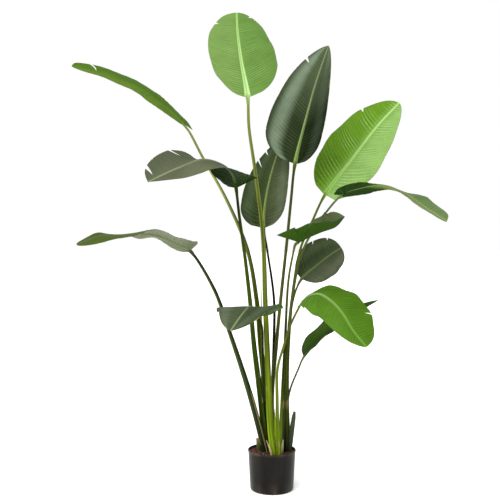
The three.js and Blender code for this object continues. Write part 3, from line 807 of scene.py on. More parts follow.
def stalk_rings(leaf, line, start):
    """Points of the stalk's upper and lower side, from the soil to the blade, grooved on the upper side"""
    distances = np.linspace(0, start, round(start / STALK_ROW))
    last_rows = start - np.arange(1, STALK_END_ROWS + 1) * STALK_END_ROW
    distances = np.sort(np.concatenate([distances, last_rows]))
    along = (distances / start)[:, None]
    radius = between(leaf["radii"], along**0.5)
    angle = np.radians(90 - STALK_SECTION_TURN * COLUMNS / HALF_COLUMNS)
    width = radius * np.cos(angle)
    height = STALK_DEPTH_RATIO * radius * np.sin(angle)
    groove = mixed(FOOT_GROOVE, STALK_GROOVE, eased(along, 0, 0.5)) * radius * STALK_DEPTH_RATIO
    upper_height = height - groove * np.exp(-((width / (GROOVE_WIDTH_RATIO * radius)) ** 2))

    # Near the blade the oval passes into the midrib's section
    rib_radius = leaf["radii"][2]
    rib_width = rib_radius * OVER_RIB + 0.5 * rib_radius * BEYOND_RIB
    crown = rib_radius * rib_crown(rib_width, rib_radius)
    blend = eased(distances, start - JUNCTION_LENGTH, start)[:, None]
    across = mixed(width, np.sign(COLUMNS) * rib_width, blend)
    lifts = (
        mixed(upper_height, -RIB_GROOVE * crown, blend),
        mixed(-height, -BLADE_THICKNESS - RIB_DEPTH_RATIO * crown, blend),
    )
    rings = [line.sections(distances, across, lift) for lift in lifts]
    dry_line = np.abs(np.abs(width) - DRY_LINE_SHARE * radius) + DRY_LINE_EDGE
    return rings, spread_over(width.shape, {
        "grain_across": STALK_GRAIN_SHARE * radius * (angle - np.pi / 2),
        "grain_along": distances[:, None],
        "pleat": 0,
        "rib": 0,
        "growth": along,
        "edge": dry_line + PAST_DRY_LINE * eased(along, *DRY_LINE_END),
        "spread": 0,
        "side": np.clip(STALK_SIDE_SHARE * width / radius, -1, 1),
    })


def planted(rings, values, *heights):
    """Rings and values with a copy of the first row at each height, straight down in the soil"""
    feet = np.repeat(rings[:1], len(heights), axis=0)
    feet[:, :, 2] = np.array(heights)[:, None]
    values = {key: np.concatenate([value[:1]] * len(heights) + [value]) for key, value in values.items()}
    return np.concatenate([feet, rings]), values


def joined(low, high):
    """Both lots of rows, with rows between them where the first lot runs out into the second"""
    shares = np.arange(1, JUNCTION_ROWS) / JUNCTION_ROWS
    return np.concatenate([low, np.stack([mixed(low[-1], high[0], share) for share in shares]), high])


def leaf_rings(leaf, look, chance):
    """Whole leaf: closed rings from the buried foot to the tip, with the values that its finish reads"""
    line = Course(leaf["stalk"] + leaf["midrib"], leaf["faces"])
    start = line.distances[CURVE_STEPS * len(leaf["stalk"])]
    stalk, stalk_values = stalk_rings(leaf, line, start)
    places = blade_places(leaf, line.length - start)
    blade, blade_values = blade_rings(leaf, look, line, start, places, chance)
    upper, under = (joined(low, high) for low, high in zip(stalk, blade))
    rings = np.concatenate([upper, under[:, ::-1]], axis=1)
    values = {}
    for key, low in stalk_values.items():
        rows = joined(low, blade_values[key])
        values[key] = np.concatenate([rows, rows[:, ::-1]], axis=1)
    values["under"] = np.zeros(rings.shape[:2])
    values["under"][:, len(COLUMNS):] = 1
    return planted(rings, values, LEAF_FOOT_BOTTOM, FOOT_TOP)


def rolled_rings(shoot):
    """Closed rings of a rolled young leaf: its outer edge laps over the roll and winds up round it"""
    line = Course(shoot["course"])
    distances = np.linspace(0, line.length, round(line.length / SHOOT_ROW))
    along = (distances / line.length)[:, None]
    own_radius = between(shoot["radii"], along)
    turn = np.linspace(0, 2 * np.pi, SHOOT_SIDES)
    crease = CREASE_DEPTH * np.exp(-((turn - CREASE_TURN) / CREASE_WIDTH) ** 2)
    lap = mixed(*LAP_SHARES, turn / (2 * np.pi)) - crease
    angle = turn + 2 * np.pi * shoot["turns"] * along - np.pi / 2
    radius = own_radius * lap
    depth = np.maximum(radius * shoot["depth_ratio"], THINNEST_SHOOT)
    rings = line.sections(distances, radius * np.cos(angle), depth * np.sin(angle))
    values = spread_over(radius.shape, {
        "grain_across": turn * own_radius,
        "grain_along": distances[:, None],
        "growth": along,
        "edge": np.minimum(turn, 2 * np.pi - turn) * own_radius,
    })
    return planted(rings, values, SHOOT_FOOT_BOTTOM)


def cupped_rings(strip):
    """Closed rings of a dry sheath strip: thin, cupped towards the plant and flatter at its tip"""
    line = Course(strip["course"])
    distances = np.linspace(0, line.length, STRIP_ROWS)
    along = (distances / line.length)[:, None]
    columns = np.linspace(-1, 1, STRIP_COLUMNS)
    radius = between(strip["radii"], along)
    wrinkle = STRIP_WRINKLE * np.sin(WRINKLES_ACROSS * columns + 2) * np.sin(along * WRINKLES_ALONG)
    cup = STRIP_CUP * (1 - columns**2) * (1 - along) + wrinkle
    front, back = (
        line.sections(distances, radius * columns, cup - STRIP_SETBACK + offset)
        for offset in (STRIP_HALF_THICKNESS, -STRIP_HALF_THICKNESS)
    )
    rings = np.concatenate([front, back[:, ::-1]], axis=1)
    values = spread_over(rings.shape[:2], {
        "grain_across": radius * np.concatenate([columns, columns[::-1]]),
        "grain_along": distances[:, None],
        "growth": along,
    })
    return planted(rings, values, SHOOT_FOOT_BOTTOM)


def closed_and_smoothed(piece, angle):
    """Fills the piece's open ends in edit mode, turns its faces outwards and smooths its blunter edges"""
    bpy.ops.mesh.select_all(action="DESELECT")
    bpy.ops.mesh.select_mode(type="EDGE")
    bpy.ops.mesh.select_non_manifold()
    bpy.ops.mesh.fill_holes(sides=0)
    bpy.ops.mesh.select_all(action="SELECT")
    bpy.ops.mesh.normals_make_consistent(inside=False)
    bpy.ops.object.mode_set(mode="OBJECT")
    bpy.ops.object.shade_smooth_by_angle(angle=math.radians(angle))
    piece.select_set(False)


def wrapped_sheet(name, rings, values):
    """Closed piece from a flat grid whose rows are bent into rings, its seam welded and its ends filled"""
    rows, around = rings.shape[:2]
    bpy.ops.mesh.primitive_grid_add(
        x_subdivisions=around, y_subdivisions=rows - 1, size=1, location=(0, 0, 0)
    )
    piece = bpy.context.object
    piece.name = name
    mesh = piece.data
    flat = np.empty(len(mesh.vertices) * 3)
    mesh.vertices.foreach_get("co", flat)
    flat = flat.reshape(-1, 3)
    column = np.rint((flat[:, 0] + 0.5) * around).astype(int) % around
    row = np.rint((flat[:, 1] + 0.5) * (rows - 1)).astype(int)
    mesh.vertices.foreach_set("co", (rings[row, column] * MM).astype(np.float32).ravel())
    for key, value in values.items():
        layer = mesh.attributes.new(key, "FLOAT", "POINT")
        layer.data.foreach_set("value", value[row, column].astype(np.float32))
    mesh.update()
    bpy.ops.object.mode_set(mode="EDIT")
    bpy.ops.mesh.select_all(action="SELECT")
    bpy.ops.mesh.remove_doubles(threshold=WELD)
    closed_and_smoothed(piece, GROWN_SMOOTHING)
    return piece


def wall_radius(height):
    """Radius of the pot's outer wall at a height"""
    share = (height - POT_BASE_ROUNDING) / (POT_HEIGHT - POT_BASE_ROUNDING)
    return mixed(POT_BASE_RADIUS, POT_TOP_RADIUS - POT_LIP_REACH, share)


def rounded(radius, height, size, start, end, steps):
    """Points of an arc round a centre, from one angle to another"""
    angles = np.radians(np.linspace(start, end, steps + 1))
    return [(radius + size * math.cos(angle), height + size * math.sin(angle)) for angle in angles]


def turned_piece(name, profile, sides):
    """Turned piece: a ring is extruded and resized from one radius and height to the next"""
    radius, height = profile[0]
    bpy.ops.mesh.primitive_circle_add(
        vertices=sides, radius=radius * MM, fill_type="NGON", location=(0, 0, 0)
    )
    piece = bpy.context.object
    piece.name = name
    for vertex in piece.data.vertices:
        vertex.co.z = height * MM
    bpy.ops.object.mode_set(mode="EDIT")
    bpy.ops.mesh.select_all(action="SELECT")
    bpy.ops.mesh.delete(type="ONLY_FACE")
    bpy.ops.mesh.select_mode(type="EDGE")
    bpy.ops.mesh.select_all(action="SELECT")
    for (radius, height), (next_radius, next_height) in zip(profile, profile[1:]):
        rise = (next_height - height) * MM
        bpy.ops.mesh.extrude_region_move(TRANSFORM_OT_translate={"value": (0, 0, rise)})
        size = next_radius / radius
        bpy.ops.transform.resize(value=(size, size, 1), center_override=(0, 0, 0))
    closed_and_smoothed(piece, TURNED_SMOOTHING)
    return piece


def colour(code):
    """Linear colour of an sRGB hex value"""
    parts = [int(code[place:place + 2], 16) / 255 for place in (1, 3, 5)]
    linear = [part / 12.92 if part <= 0.04045 else ((part + 0.055) / 1.055) ** 2.4 for part in parts]
    return (*linear, 1)


def feed(tree, node, inputs):
    """Sets a node's inputs to values or hex colours, or links them to sockets or to other nodes' outputs"""
    for name, value in inputs.items():
        if isinstance(value, str):
            value = colour(value)
        if isinstance(value, bpy.types.Node):
            value = next(socket for socket in value.outputs if socket.enabled)
        if isinstance(value, bpy.types.NodeSocket):
            tree.links.new(value, node.inputs[name])
        else:
            node.inputs[name].default_value = value


# Numbered inputs are the terms of a sum or product (0, 1), the ends of a range and what it gives there
# (1, 2 and 3, 4), and the share and the two colours of a mix (0, 6, 7)
def add(tree, kind, inputs, **settings):
    """Node of a kind, with its settings and with its inputs set or linked"""
    node = tree.nodes.new(f"ShaderNode{kind}")
    for name, value in settings.items():
        setattr(node, name, value)
    feed(tree, node, inputs)
    return node


def new_finish(name):
    """Empty material with its surface shader"""
    material = bpy.data.materials.new(name)
    material.use_nodes = True
    tree = material.node_tree
    return material, tree, tree.nodes["Principled BSDF"]


def read_values(tree, *keys):
    """The values that a grown piece holds at its points"""
    return [add(tree, "Attribute", {}, attribute_name=key).outputs["Fac"] for key in keys]


def strands(tree, across, along, spacing, run, seed, detail):
    """Noise drawn out along the grain, from the spacing and the run of its strands"""
    across = add(tree, "Math", {0: across, 1: 1 / spacing}, operation="MULTIPLY")
    along = add(tree, "Math", {0: along, 1: 1 / run}, operation="MULTIPLY")
    place = add(tree, "CombineXYZ", {0: across, 1: along, 2: seed})
    return add(tree, "TexNoise", {"Vector": place, "Scale": 1.0, "Detail": detail})


def toned_along(tree, growth, tone, steps):
    """Colour that passes from tone to tone up a stem, each between two values of its growth"""
    for start, end, next_tone in steps:
        share = add(tree, "MapRange", {"Value": growth, 1: start, 2: end})
        tone = add(tree, "Mix", {0: share, 6: tone, 7: next_tone}, data_type="RGBA")
    return tone


def leaf_skin(name, look, seed):
    """Waxy leaf skin: satin, greener above, grey below, pleated, veined, pale on its midrib, with painted
    light and shade: lighter and darker halves, a painted sheen band, painted highlights on pleat ridges,
    painted shade in pleat hollows and the midrib's groove, and on a stalk's sides
    """
    material, tree, skin = new_finish(name)
    grain = read_values(tree, "grain_across", "grain_along")
    pleat, rib, growth, edge = read_values(tree, "pleat", "rib", "growth", "edge")
    spread, side, under = read_values(tree, "spread", "side", "under")
    halves = add(tree, "MapRange", {"Value": side, 1: -1.0, 2: 1.0})
    spot = add(tree, "TexCoord", {}).outputs["Object"]
    clouds = add(tree, "TexNoise", {"Vector": spot, "Scale": 1 / (CLOUD_SIZE * MM), "Detail": 2.0})

    # Side veins are about 0.7 mm apart and are drawn three times coarser, so that they show
    veins = strands(tree, *grain, VEIN_SPACING, VEIN_RUN, seed, 3.0)
    furrows = add(tree, "MapRange", {"Value": veins, 1: 0.5, 2: 0.28, 4: VEIN_STRENGTH})

    # Blade above and below, each half with its own tone, lighter or darker as painted light and shade,
    # painted shade up to a place on some blades, and a band of painted sheen along the middle of each half
    tones = {}
    for key in ("upper", "under"):
        left, right = look[key]
        tones[key] = add(tree, "Mix", {0: halves, 6: left, 7: right}, data_type="RGBA")
    # The shaded tone is painted shade up to a place on the blade
    shaded_tone, shaded_from, shaded_to = look["shaded"]
    shade = add(tree, "MapRange", {"Value": growth, 1: shaded_from, 2: shaded_to, 3: 1.0, 4: 0.0})
    tip_tone, tip_share = look["tip"]
    to_tip = add(tree, "MapRange", {"Value": growth, 1: 1.5, 2: 1.9, 4: tip_share})
    # The sheen band is a painted highlight along the middle of each half, on both faces
    left_painted_sheen, right_painted_sheen = look["painted_sheen"]
    painted_sheen = add(tree, "MapRange", {"Value": halves, 3: left_painted_sheen, 4: right_painted_sheen})
    for ends in ({1: 0.36, 2: 0.68}, {1: 0.76, 2: 0.98, 3: 1.0, 4: 0.1}):
        share = add(tree, "MapRange", {"Value": spread, **ends}, interpolation_type="SMOOTHSTEP")
        painted_sheen = add(tree, "Math", {0: painted_sheen, 1: share}, operation="MULTIPLY")

    # Pleats get painted highlights on their ridges, most of all near the midrib, and painted shade in their
    # hollows
    light_lines, dark_lines = look["lines"]
    from_rib = add(tree, "MapRange", {"Value": spread, 1: 0.04, 2: 0.16})
    to_margin = add(tree, "MapRange", {"Value": spread, 1: 0.45, 2: 0.95, 3: 1.0, 4: 0.15})
    fading = add(tree, "Math", {0: from_rib, 1: to_margin}, operation="MULTIPLY")
    patches = add(tree, "MapRange", {"Value": clouds, 1: 0.38, 2: 0.6, 3: 0.3})
    patchy = add(tree, "Math", {0: fading, 1: patches}, operation="MULTIPLY")
    broken = add(tree, "MapRange", {"Value": veins, 1: 0.36, 2: 0.6, 3: 0.25})
    drawn = add(tree, "Math", {0: patchy, 1: broken}, operation="MULTIPLY")
    ridges, hollows = (
        add(tree, "MapRange", {"Value": pleat, **ends}, interpolation_type="SMOOTHSTEP")
        for ends in ({1: 0.25, 2: 0.9, 4: light_lines}, {1: 0.1, 2: -0.8, 4: dark_lines})
    )
    ridge_highlight_share = add(tree, "Math", {0: ridges, 1: drawn}, operation="MULTIPLY")
    hollow_shade_share = add(tree, "Math", {0: hollows, 1: patchy}, operation="MULTIPLY")
    cloudy = add(tree, "MapRange", {"Value": clouds, 1: 0.35, 2: 0.75, 4: 0.5})
    blade = tones["upper"]
    for share, tone, blending in (
        (shade, shaded_tone, "MIX"),
        (under, tones["under"], "MIX"),
        (to_tip, tip_tone, "MIX"),
        (painted_sheen, look["painted_sheen_tone"], "MIX"),
        (ridge_highlight_share, look["rib"][1], "MIX"),
        (hollow_shade_share, HOLLOW_SHADE_SHARES, "MULTIPLY"),
        (furrows, VEIN_SHARES, "MULTIPLY"),
        (cloudy, CLOUD_SHARES, "MULTIPLY"),
    ):
        blade = add(tree, "Mix", {0: share, 6: blade, 7: tone}, data_type="RGBA", blend_type=blending)

    # Stalk and midrib, toned from the soil (0) through the blade's foot (1) to its tip (2)
    foot, low, high = look["stalk"]
    rib_low, rib_high = look["rib"]
    steps = ((0.0, 0.3, low), (0.4, 0.95, high), (0.97, 1.08, rib_low), (1.1, 1.9, rib_high))
    stem = toned_along(tree, growth, foot, steps)

    # Painted shade darkens the groove up the midrib, broad stripes run up the stalk, and one side of the
    # stalk may be painted darker as shade while the other is painted lighter as light
    above = add(tree, "Math", {0: 1.0, 1: under}, operation="SUBTRACT")
    on_blade = add(tree, "MapRange", {"Value": growth, 1: 1.0, 2: 1.08, 4: 0.55})
    middle = add(tree, "MapRange", {"Value": rib, 1: 0.35, 2: 0.15})
    # The groove's darkening is painted shade
    groove = add(tree, "Math", {0: middle, 1: above}, operation="MULTIPLY")
    groove_shade_share = add(tree, "Math", {0: groove, 1: on_blade}, operation="MULTIPLY")
    stripes = strands(tree, *grain, STRIPE_SPACING, STRIPE_RUN, seed + 0.5, 1.0)
    left_light, right_light = look["stalk_side_light_and_shade"]
    painted_side_light = add(tree, "MapRange", {"Value": halves, 3: left_light, 4: right_light})
    striped = add(tree, "MapRange", {"Value": stripes, 1: 0.34, 2: 0.66, 3: 0.45, 4: 1.45})
    stripes_and_painted_light = add(tree, "Math", {0: painted_side_light, 1: striped}, operation="MULTIPLY")
    up_stalk = add(tree, "MapRange", {"Value": growth, 1: 0.95, 2: 1.0, 3: 1.0, 4: 0.0})
    shades = ((groove_shade_share, GROOVE_SHADE_SHARES), (furrows, STALK_FIBRE_SHARES), (up_stalk, stripes_and_painted_light))
    for share, tone in shades:
        stem = add(tree, "Mix", {0: share, 6: stem, 7: tone}, data_type="RGBA", blend_type="MULTIPLY")

    # Margins end in a thin dark line, and dry to brown in a few places
    beside_rib = add(tree, "MapRange", {"Value": rib, 1: 0.75, 2: 1.35}, interpolation_type="SMOOTHSTEP")
    margin = add(tree, "MapRange", {"Value": edge, 1: 1.3, 2: 0.4, 4: 0.7})
    near_margin = add(tree, "MapRange", {"Value": edge, 1: 3.5, 2: 1.0, 4: 0.8})
    dried = add(tree, "MapRange", {"Value": clouds, 1: 0.6, 2: 0.68})
    left_dry, right_dry = look["dry_edge"]
    dry_side = add(tree, "MapRange", {"Value": halves, 3: left_dry, 4: right_dry})
    stalk_edge = add(tree, "Math", {0: dry_side, 1: up_stalk}, operation="MULTIPLY")
    dry = add(tree, "Math", {0: dried, 1: stalk_edge}, operation="MAXIMUM")
    dry_share = add(tree, "Math", {0: near_margin, 1: dry}, operation="MULTIPLY")
    whole = stem
    for share, tone in ((beside_rib, blade), (margin, "#38431d"), (dry_share, "#80704a")):
        whole = add(tree, "Mix", {0: share, 6: whole, 7: tone}, data_type="RGBA")
    gloss = add(tree, "MapRange", {"Value": veins, 1: 0.3, 2: 0.7, 3: 0.4, 4: 0.55})
    relief = add(tree, "Bump", {"Strength": 0.6, "Distance": 0.35 * MM, "Height": veins})
    feed(tree, skin, {"Base Color": whole, "Roughness": gloss, "Normal": relief})
    feed(tree, skin, {"IOR": 1.45, "Specular IOR Level": WAX_SPECULAR})
    return material


def shoot_skin(name, colours, seed):
    """Rolled leaf or cut stalk: firm waxy skin with fibres along it and a brown edge where it laps over"""
    material, tree, skin = new_finish(name)
    across, along, growth, edge = read_values(tree, "grain_across", "grain_along", "growth", "edge")
    fibres = strands(tree, across, along, FIBRE_SPACING, VEIN_RUN, seed, 3.0)
    foot, middle, tip = colours
    tone = toned_along(tree, growth, foot, ((0.0, 0.45, middle), (0.5, 1.0, tip)))
    furrows = add(tree, "MapRange", {"Value": fibres, 1: 0.55, 2: 0.3, 4: 0.6})
    shares = {0: furrows, 6: tone, 7: SHOOT_FIBRE_SHARES}
    fibrous = add(tree, "Mix", shares, data_type="RGBA", blend_type="MULTIPLY")
    lap = add(tree, "MapRange", {"Value": edge, 1: 1.4, 2: 0.3, 4: 0.7})
    edged = add(tree, "Mix", {0: lap, 6: fibrous, 7: "#4a3d22"}, data_type="RGBA")
    relief = add(tree, "Bump", {"Strength": 0.7, "Distance": 0.5 * MM, "Height": fibres})
    feed(tree, skin, {"Base Color": edged, "Normal": relief})
    feed(tree, skin, {"Roughness": 0.46, "Specular IOR Level": WAX_SPECULAR})
    return material


def dry_skin(name, colours, seed):
    """Dead sheath strip: matt, papery and stringy, paler towards its tip with brown weathering"""
    material, tree, skin = new_finish(name)
    across, along, growth = read_values(tree, "grain_across", "grain_along", "growth")
    strings = strands(tree, across, along, STRING_SPACING, STRING_RUN, seed, 4.0)
    foot, middle, tip = colours
    tone = toned_along(tree, growth, foot, ((0.0, 0.4, middle), (0.4, 0.9, tip)))
    stain = add(tree, "MapRange", {"Value": strings, 1: 0.52, 2: 0.35, 4: 0.8})
    stained = add(tree, "Mix", {0: stain, 6: tone, 7: "#4a3a22"}, data_type="RGBA")
    relief = add(tree, "Bump", {"Strength": 0.8, "Distance": 0.6 * MM, "Height": strings})
    feed(tree, skin, {"Base Color": stained, "Normal": relief, "Roughness": 0.85})
    return material


def pot_plastic():
    """Moulded black polypropylene: dull satin with a fine grain, with dust at the rim, and paler towards
    the base with dust and a painted reflection of the floor
    """
    material, tree, skin = new_finish("moulded black polypropylene")
    spot = add(tree, "TexCoord", {}).outputs["Object"]
    height = add(tree, "SeparateXYZ", {0: spot}).outputs["Z"]
    grain = add(tree, "TexNoise", {"Vector": spot, "Scale": 1 / (PLASTIC_GRAIN * MM), "Detail": 2.0})
    smears = add(tree, "Mapping", {"Vector": spot, "Scale": (1, 1, 0.25)})
    dust = add(tree, "TexNoise", {"Vector": smears, "Scale": 1 / (DUST_PATCH * MM), "Detail": 5.0})
    # The band towards the base is dust and a painted reflection of the bright floor
    low = add(tree, "MapRange", {"Value": height, 1: DUST_AND_REFLECTION_FOOT * MM, 2: 0.0, 4: 0.35})
    rim_start, rim_end = DUSTY_RIM
    rim = add(tree, "MapRange", {"Value": height, 1: rim_start * MM, 2: rim_end * MM, 4: 0.5})
    places = add(tree, "Math", {0: low, 1: rim}, operation="ADD")
    share = add(tree, "Math", {0: places, 1: DUST_EVERYWHERE}, operation="ADD")
    patches = add(tree, "MapRange", {"Value": dust, 1: 0.35, 2: 0.7})
    dust_and_reflection = add(tree, "Math", {0: share, 1: patches}, operation="MULTIPLY")
    tone = add(tree, "Mix", {0: dust_and_reflection, 6: "#080806", 7: "#54473a"}, data_type="RGBA")
    gloss = add(tree, "MapRange", {"Value": dust, 1: 0.3, 2: 0.7, 3: 0.26, 4: 0.38})
    relief = add(tree, "Bump", {"Strength": 0.35, "Distance": 0.1 * MM, "Height": grain})
    feed(tree, skin, {"Base Color": tone, "Roughness": gloss, "Normal": relief, "Specular IOR Level": 0.12})
    return material


def potting_mix(name, dark, warm, pale):
    """Coir and composted bark: matt and crumbly, from near black where damp to rusty brown where dry"""
    material, tree, skin = new_finish(name)
    spot = add(tree, "TexCoord", {}).outputs["Object"]
    crumbs = add(tree, "TexNoise", {"Vector": spot, "Scale": 1 / (CRUMB_SIZE * MM), "Detail": 6.0})
    lumps = add(tree, "TexVoronoi", {"Vector": spot, "Scale": 1 / (SOIL_LUMP_SIZE * MM)})
    damp = add(tree, "MapRange", {"Value": crumbs, 1: 0.45, 2: 0.61})
    dry = add(tree, "MapRange", {"Value": crumbs, 1: 0.6, 2: 0.8, 4: 0.7})
    tone = dark
    for share, next_tone in ((damp, warm), (dry, pale)):
        tone = add(tree, "Mix", {0: share, 6: tone, 7: next_tone}, data_type="RGBA")
    height = add(tree, "Math", {0: crumbs, 1: lumps}, operation="ADD")
    relief = add(tree, "Bump", {"Strength": 0.9, "Distance": 1.5 * MM, "Height": height})
    feed(tree, skin, {"Base Color": tone, "Normal": relief, "Roughness": 0.92})
    return material


def hand_over(piece, node, material):
    """Gives a finished piece its material and its place in the plant"""
    piece.data.materials.append(material)
    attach(piece, "root")
    if node:
        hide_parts(node)


def grow_leaves():
    for number, node in enumerate(LEAVES):
        leaf = {**PLAIN_LEAF, **LEAVES[node]}
        for name in ("left", "right"):
            tears = [(place, depth) for side, place, depth in leaf["tears"] if side == name]
            leaf[name] = {**PLAIN_HALF, **leaf[name], "tears": tears}
        look = {**PLAIN_LOOK, **LEAF_LOOKS[node]}
        piece = wrapped_sheet(f"{node}_grown", *leaf_rings(leaf, look, random.Random(number)))
        hand_over(piece, node, leaf_skin(f"waxy skin of {node}", look, float(number)))


def grow_shoots():
    for number, (node, shoot) in enumerate(SHOOTS.items()):
        piece = wrapped_sheet(f"{node}_rolled", *rolled_rings(shoot))
        skin = shoot_skin(f"rolled skin of {node}", shoot["colours"], float(number))
        hand_over(piece, node, skin)
    for number, (node, strip) in enumerate(DRY_SHEATHS.items()):
        piece = wrapped_sheet(f"{node}_papery", *cupped_rings(strip))
        skin = dry_skin(f"dry skin of {node}", strip["colours"], float(number))
        hand_over(piece, node, skin)


def make_pot():
    """Round pot with a rounded base edge, slightly flared wall and a beaded rim"""
    lip_bottom = POT_HEIGHT - POT_LIP_HEIGHT
    inside_top = wall_radius(POT_HEIGHT) - POT_WALL
    corner_top = POT_FLOOR + POT_CORNER
    inside_corner = wall_radius(corner_top) - POT_WALL
    base_edge = POT_BASE_RADIUS - POT_BASE_ROUNDING
    bead = POT_LIP_REACH
    profile = [
        *rounded(base_edge, POT_BASE_ROUNDING, POT_BASE_ROUNDING, -90, 0, 8),
        *[(wall_radius(height), height) for height in np.linspace(WALL_FOOT, lip_bottom - 1, WALL_ROWS)],
        (wall_radius(lip_bottom) + LIP_STEP, lip_bottom),
        *rounded(POT_TOP_RADIUS - bead, lip_bottom + bead, bead, -60, 0, 3),
        *rounded(POT_TOP_RADIUS - bead, POT_HEIGHT - bead, bead, 0, 90, 4),
        *rounded(inside_top + bead, POT_HEIGHT - bead, bead, 90, 180, 4),
        (inside_top, POT_HEIGHT - INSIDE_STEP),
        (inside_corner, corner_top),
        *rounded(inside_corner - POT_CORNER, corner_top, POT_CORNER, 0, -90, 5)[1:],
    ]
    pot = turned_piece("pot_moulded", profile, POT_SIDES)
    hand_over(pot, "pot", pot_plastic())


def soil_height(x, y):
    """Top of the soil at a place: low lumps, and a slight mound among the stalks"""
    lumps = LUMP_HEIGHT * math.sin(x / LUMP_LENGTH + 1) * math.cos(y / LUMP_LENGTH)
    length_x, length_y = SMALL_LUMP_LENGTHS
    lumps += SMALL_LUMP_HEIGHT * math.sin(x / length_x + y / length_y)
    return SOIL_LEVEL + lumps + MOUND_HEIGHT * math.exp(-(x * x + y * y) / MOUND_RADIUS**2)


def make_soil():
    """Potting mix filling the pot, with a crumbly top"""
    edge = wall_radius(SOIL_LEVEL) - POT_WALL - SEAT_GAP
    corner_top = POT_FLOOR + POT_CORNER
    corner = wall_radius(corner_top) - POT_WALL - SEAT_GAP
    profile = [(corner - POT_CORNER, POT_FLOOR + SEAT_GAP), (corner, corner_top + SEAT_GAP)]
    profile += [(radius, SOIL_LEVEL) for radius in np.linspace(edge, SOIL_MIDDLE, SOIL_ROWS)]
    soil = turned_piece("soil_top", profile, SOIL_SIDES)
    chance = random.Random(SOIL_SEED)
    for vertex in soil.data.vertices:
        x, y, z = (part / MM for part in vertex.co)
        if z > SOIL_LEVEL - 1 and math.hypot(x, y) < edge - 1:
            vertex.co.z = (soil_height(x, y) + chance.uniform(-SOIL_CRUMB, SOIL_CRUMB)) * MM
    mix = potting_mix("damp coir potting mix", "#1a0d07", "#4a2816", "#7c4526")
    hand_over(soil, "soil", mix)


def scatter_bark():
    """Chips of bark on the soil: one rough chip is modelled, then copied, turned and sized by chance"""
    chance = random.Random(CHIP_SEED)
    shoots = (*SHOOTS.values(), *DRY_SHEATHS.values())
    stems = [(leaf["stalk"][0], leaf["radii"][0]) for leaf in LEAVES.values()]
    stems += [(shoot["course"][0], shoot["radii"][0]) for shoot in shoots]
    bpy.ops.mesh.primitive_cube_add(size=1, location=(0, 0, 0))
    chip = bpy.context.object
    bpy.ops.object.mode_set(mode="EDIT")
    bpy.ops.mesh.subdivide(number_cuts=1)
    bpy.ops.object.mode_set(mode="OBJECT")
    for vertex in chip.data.vertices:
        vertex.co = vertex.co * chance.uniform(*CHIP_ROUGHNESS)
    chip.select_set(False)
    chips = []
    while len(chips) < CHIPS:
        reach = (wall_radius(SOIL_LEVEL) - POT_WALL - WALL_CLEARANCE) * math.sqrt(chance.random())
        turn = chance.uniform(0, 2 * math.pi)
        x, y = reach * math.cos(turn), reach * math.sin(turn)
        if any(math.hypot(x - foot[0], y - foot[1]) < radius + STEM_CLEARANCE for foot, radius in stems):
            continue
        copy = chip.copy()
        copy.data = chip.data.copy()
        bpy.context.collection.objects.link(copy)
        length = chance.uniform(*CHIP_LENGTHS)
        width = length * chance.uniform(*CHIP_WIDTH_SHARES)
        copy.scale = (length * MM, width * MM, chance.uniform(*CHIP_THICKNESSES) * MM)
        tilt = (chance.gauss(0, CHIP_TILT), chance.gauss(0, CHIP_TILT))
        copy.rotation_euler = (*tilt, chance.uniform(0, 2 * math.pi))
        copy.location = (x * MM, y * MM, (soil_height(x, y) + chance.uniform(0, CHIP_LIFT)) * MM)
        chips.append(copy)
    bpy.data.objects.remove(chip)
    for copy in chips:
        copy.select_set(True)
    bpy.context.view_layer.objects.active = chips[0]
    bpy.ops.object.join()
    bark = bpy.context.object
    bark.name = "bark_chips"
    bpy.ops.object.transform_apply(location=True, rotation=True, scale=True)
    bark.select_set(False)
    hand_over(bark, None, potting_mix("composted bark chips", "#241209", "#70391f", "#ad6a3e"))


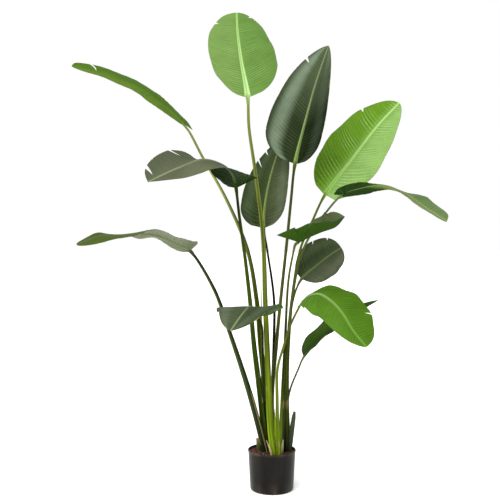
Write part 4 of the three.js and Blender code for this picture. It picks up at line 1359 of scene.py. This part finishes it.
def set_camera():
    bpy.ops.object.camera_add(location=CAMERA_PLACE, rotation=(math.pi / 2, 0, 0))
    camera = bpy.context.object
    camera.data.lens = CAMERA_LENS
    camera.data.sensor_width = CAMERA_SENSOR
    camera.data.clip_end = CAMERA_REACH
    bpy.context.scene.camera = camera
    camera.select_set(False)


def set_floor():
    """Wide white floor that glows a little"""
    bpy.ops.mesh.primitive_plane_add(size=FLOOR_WIDTH, location=(0, 0, 0))
    floor = bpy.context.object
    floor.name = "studio_floor"
    floor.select_set(False)
    material, tree, sheet = new_finish("matt white acrylic sheet lit from below")
    feed(tree, sheet, {"Base Color": "#f4f4f2", "Roughness": 0.9})
    feed(tree, sheet, {"Emission Color": "#ffffff", "Emission Strength": FLOOR_GLOW})
    floor.data.materials.append(material)


def set_room():
    """Pale room that is dimmer in front and above, a window at the left and a soft high light"""
    world = bpy.data.worlds.new("pale studio room")
    world.use_nodes = True
    tree = world.node_tree
    way = add(tree, "TexCoord", {}).outputs["Generated"]
    parts = add(tree, "SeparateXYZ", {0: way}).outputs
    ceiling = add(tree, "MapRange", {"Value": parts["Z"], 1: 0.35, 2: 0.7, 3: ROOM_LIGHT, 4: CEILING_LIGHT})
    back = add(tree, "MapRange", {"Value": parts["Y"], 1: -0.3, 2: 0.4, 3: FRONT_SHARE})
    room = add(tree, "Math", {0: ceiling, 1: back}, operation="MULTIPLY")
    facing = add(tree, "VectorMath", {0: way, 1: WINDOW_WAY}, operation="DOT_PRODUCT").outputs["Value"]
    window = add(tree, "MapRange", {"Value": facing, 1: 0.3, 2: 0.9, 4: WINDOW_LIGHT})
    glow = add(tree, "Math", {0: room, 1: window}, operation="ADD")
    feed(tree, tree.nodes["Background"], {"Color": "#ffffff", "Strength": glow})
    bpy.context.scene.world = world

    bpy.ops.object.light_add(type="SUN", rotation=[math.radians(turn) for turn in KEY_TURNS])
    light = bpy.context.object
    light.data.energy = KEY_LIGHT
    light.data.angle = math.radians(KEY_SOFTNESS)
    light.select_set(False)
    bpy.context.scene.view_settings.view_transform = "Standard"


set_camera()
set_floor()
set_room()
grow_leaves()
grow_shoots()
make_pot()
make_soil()
scatter_bark()
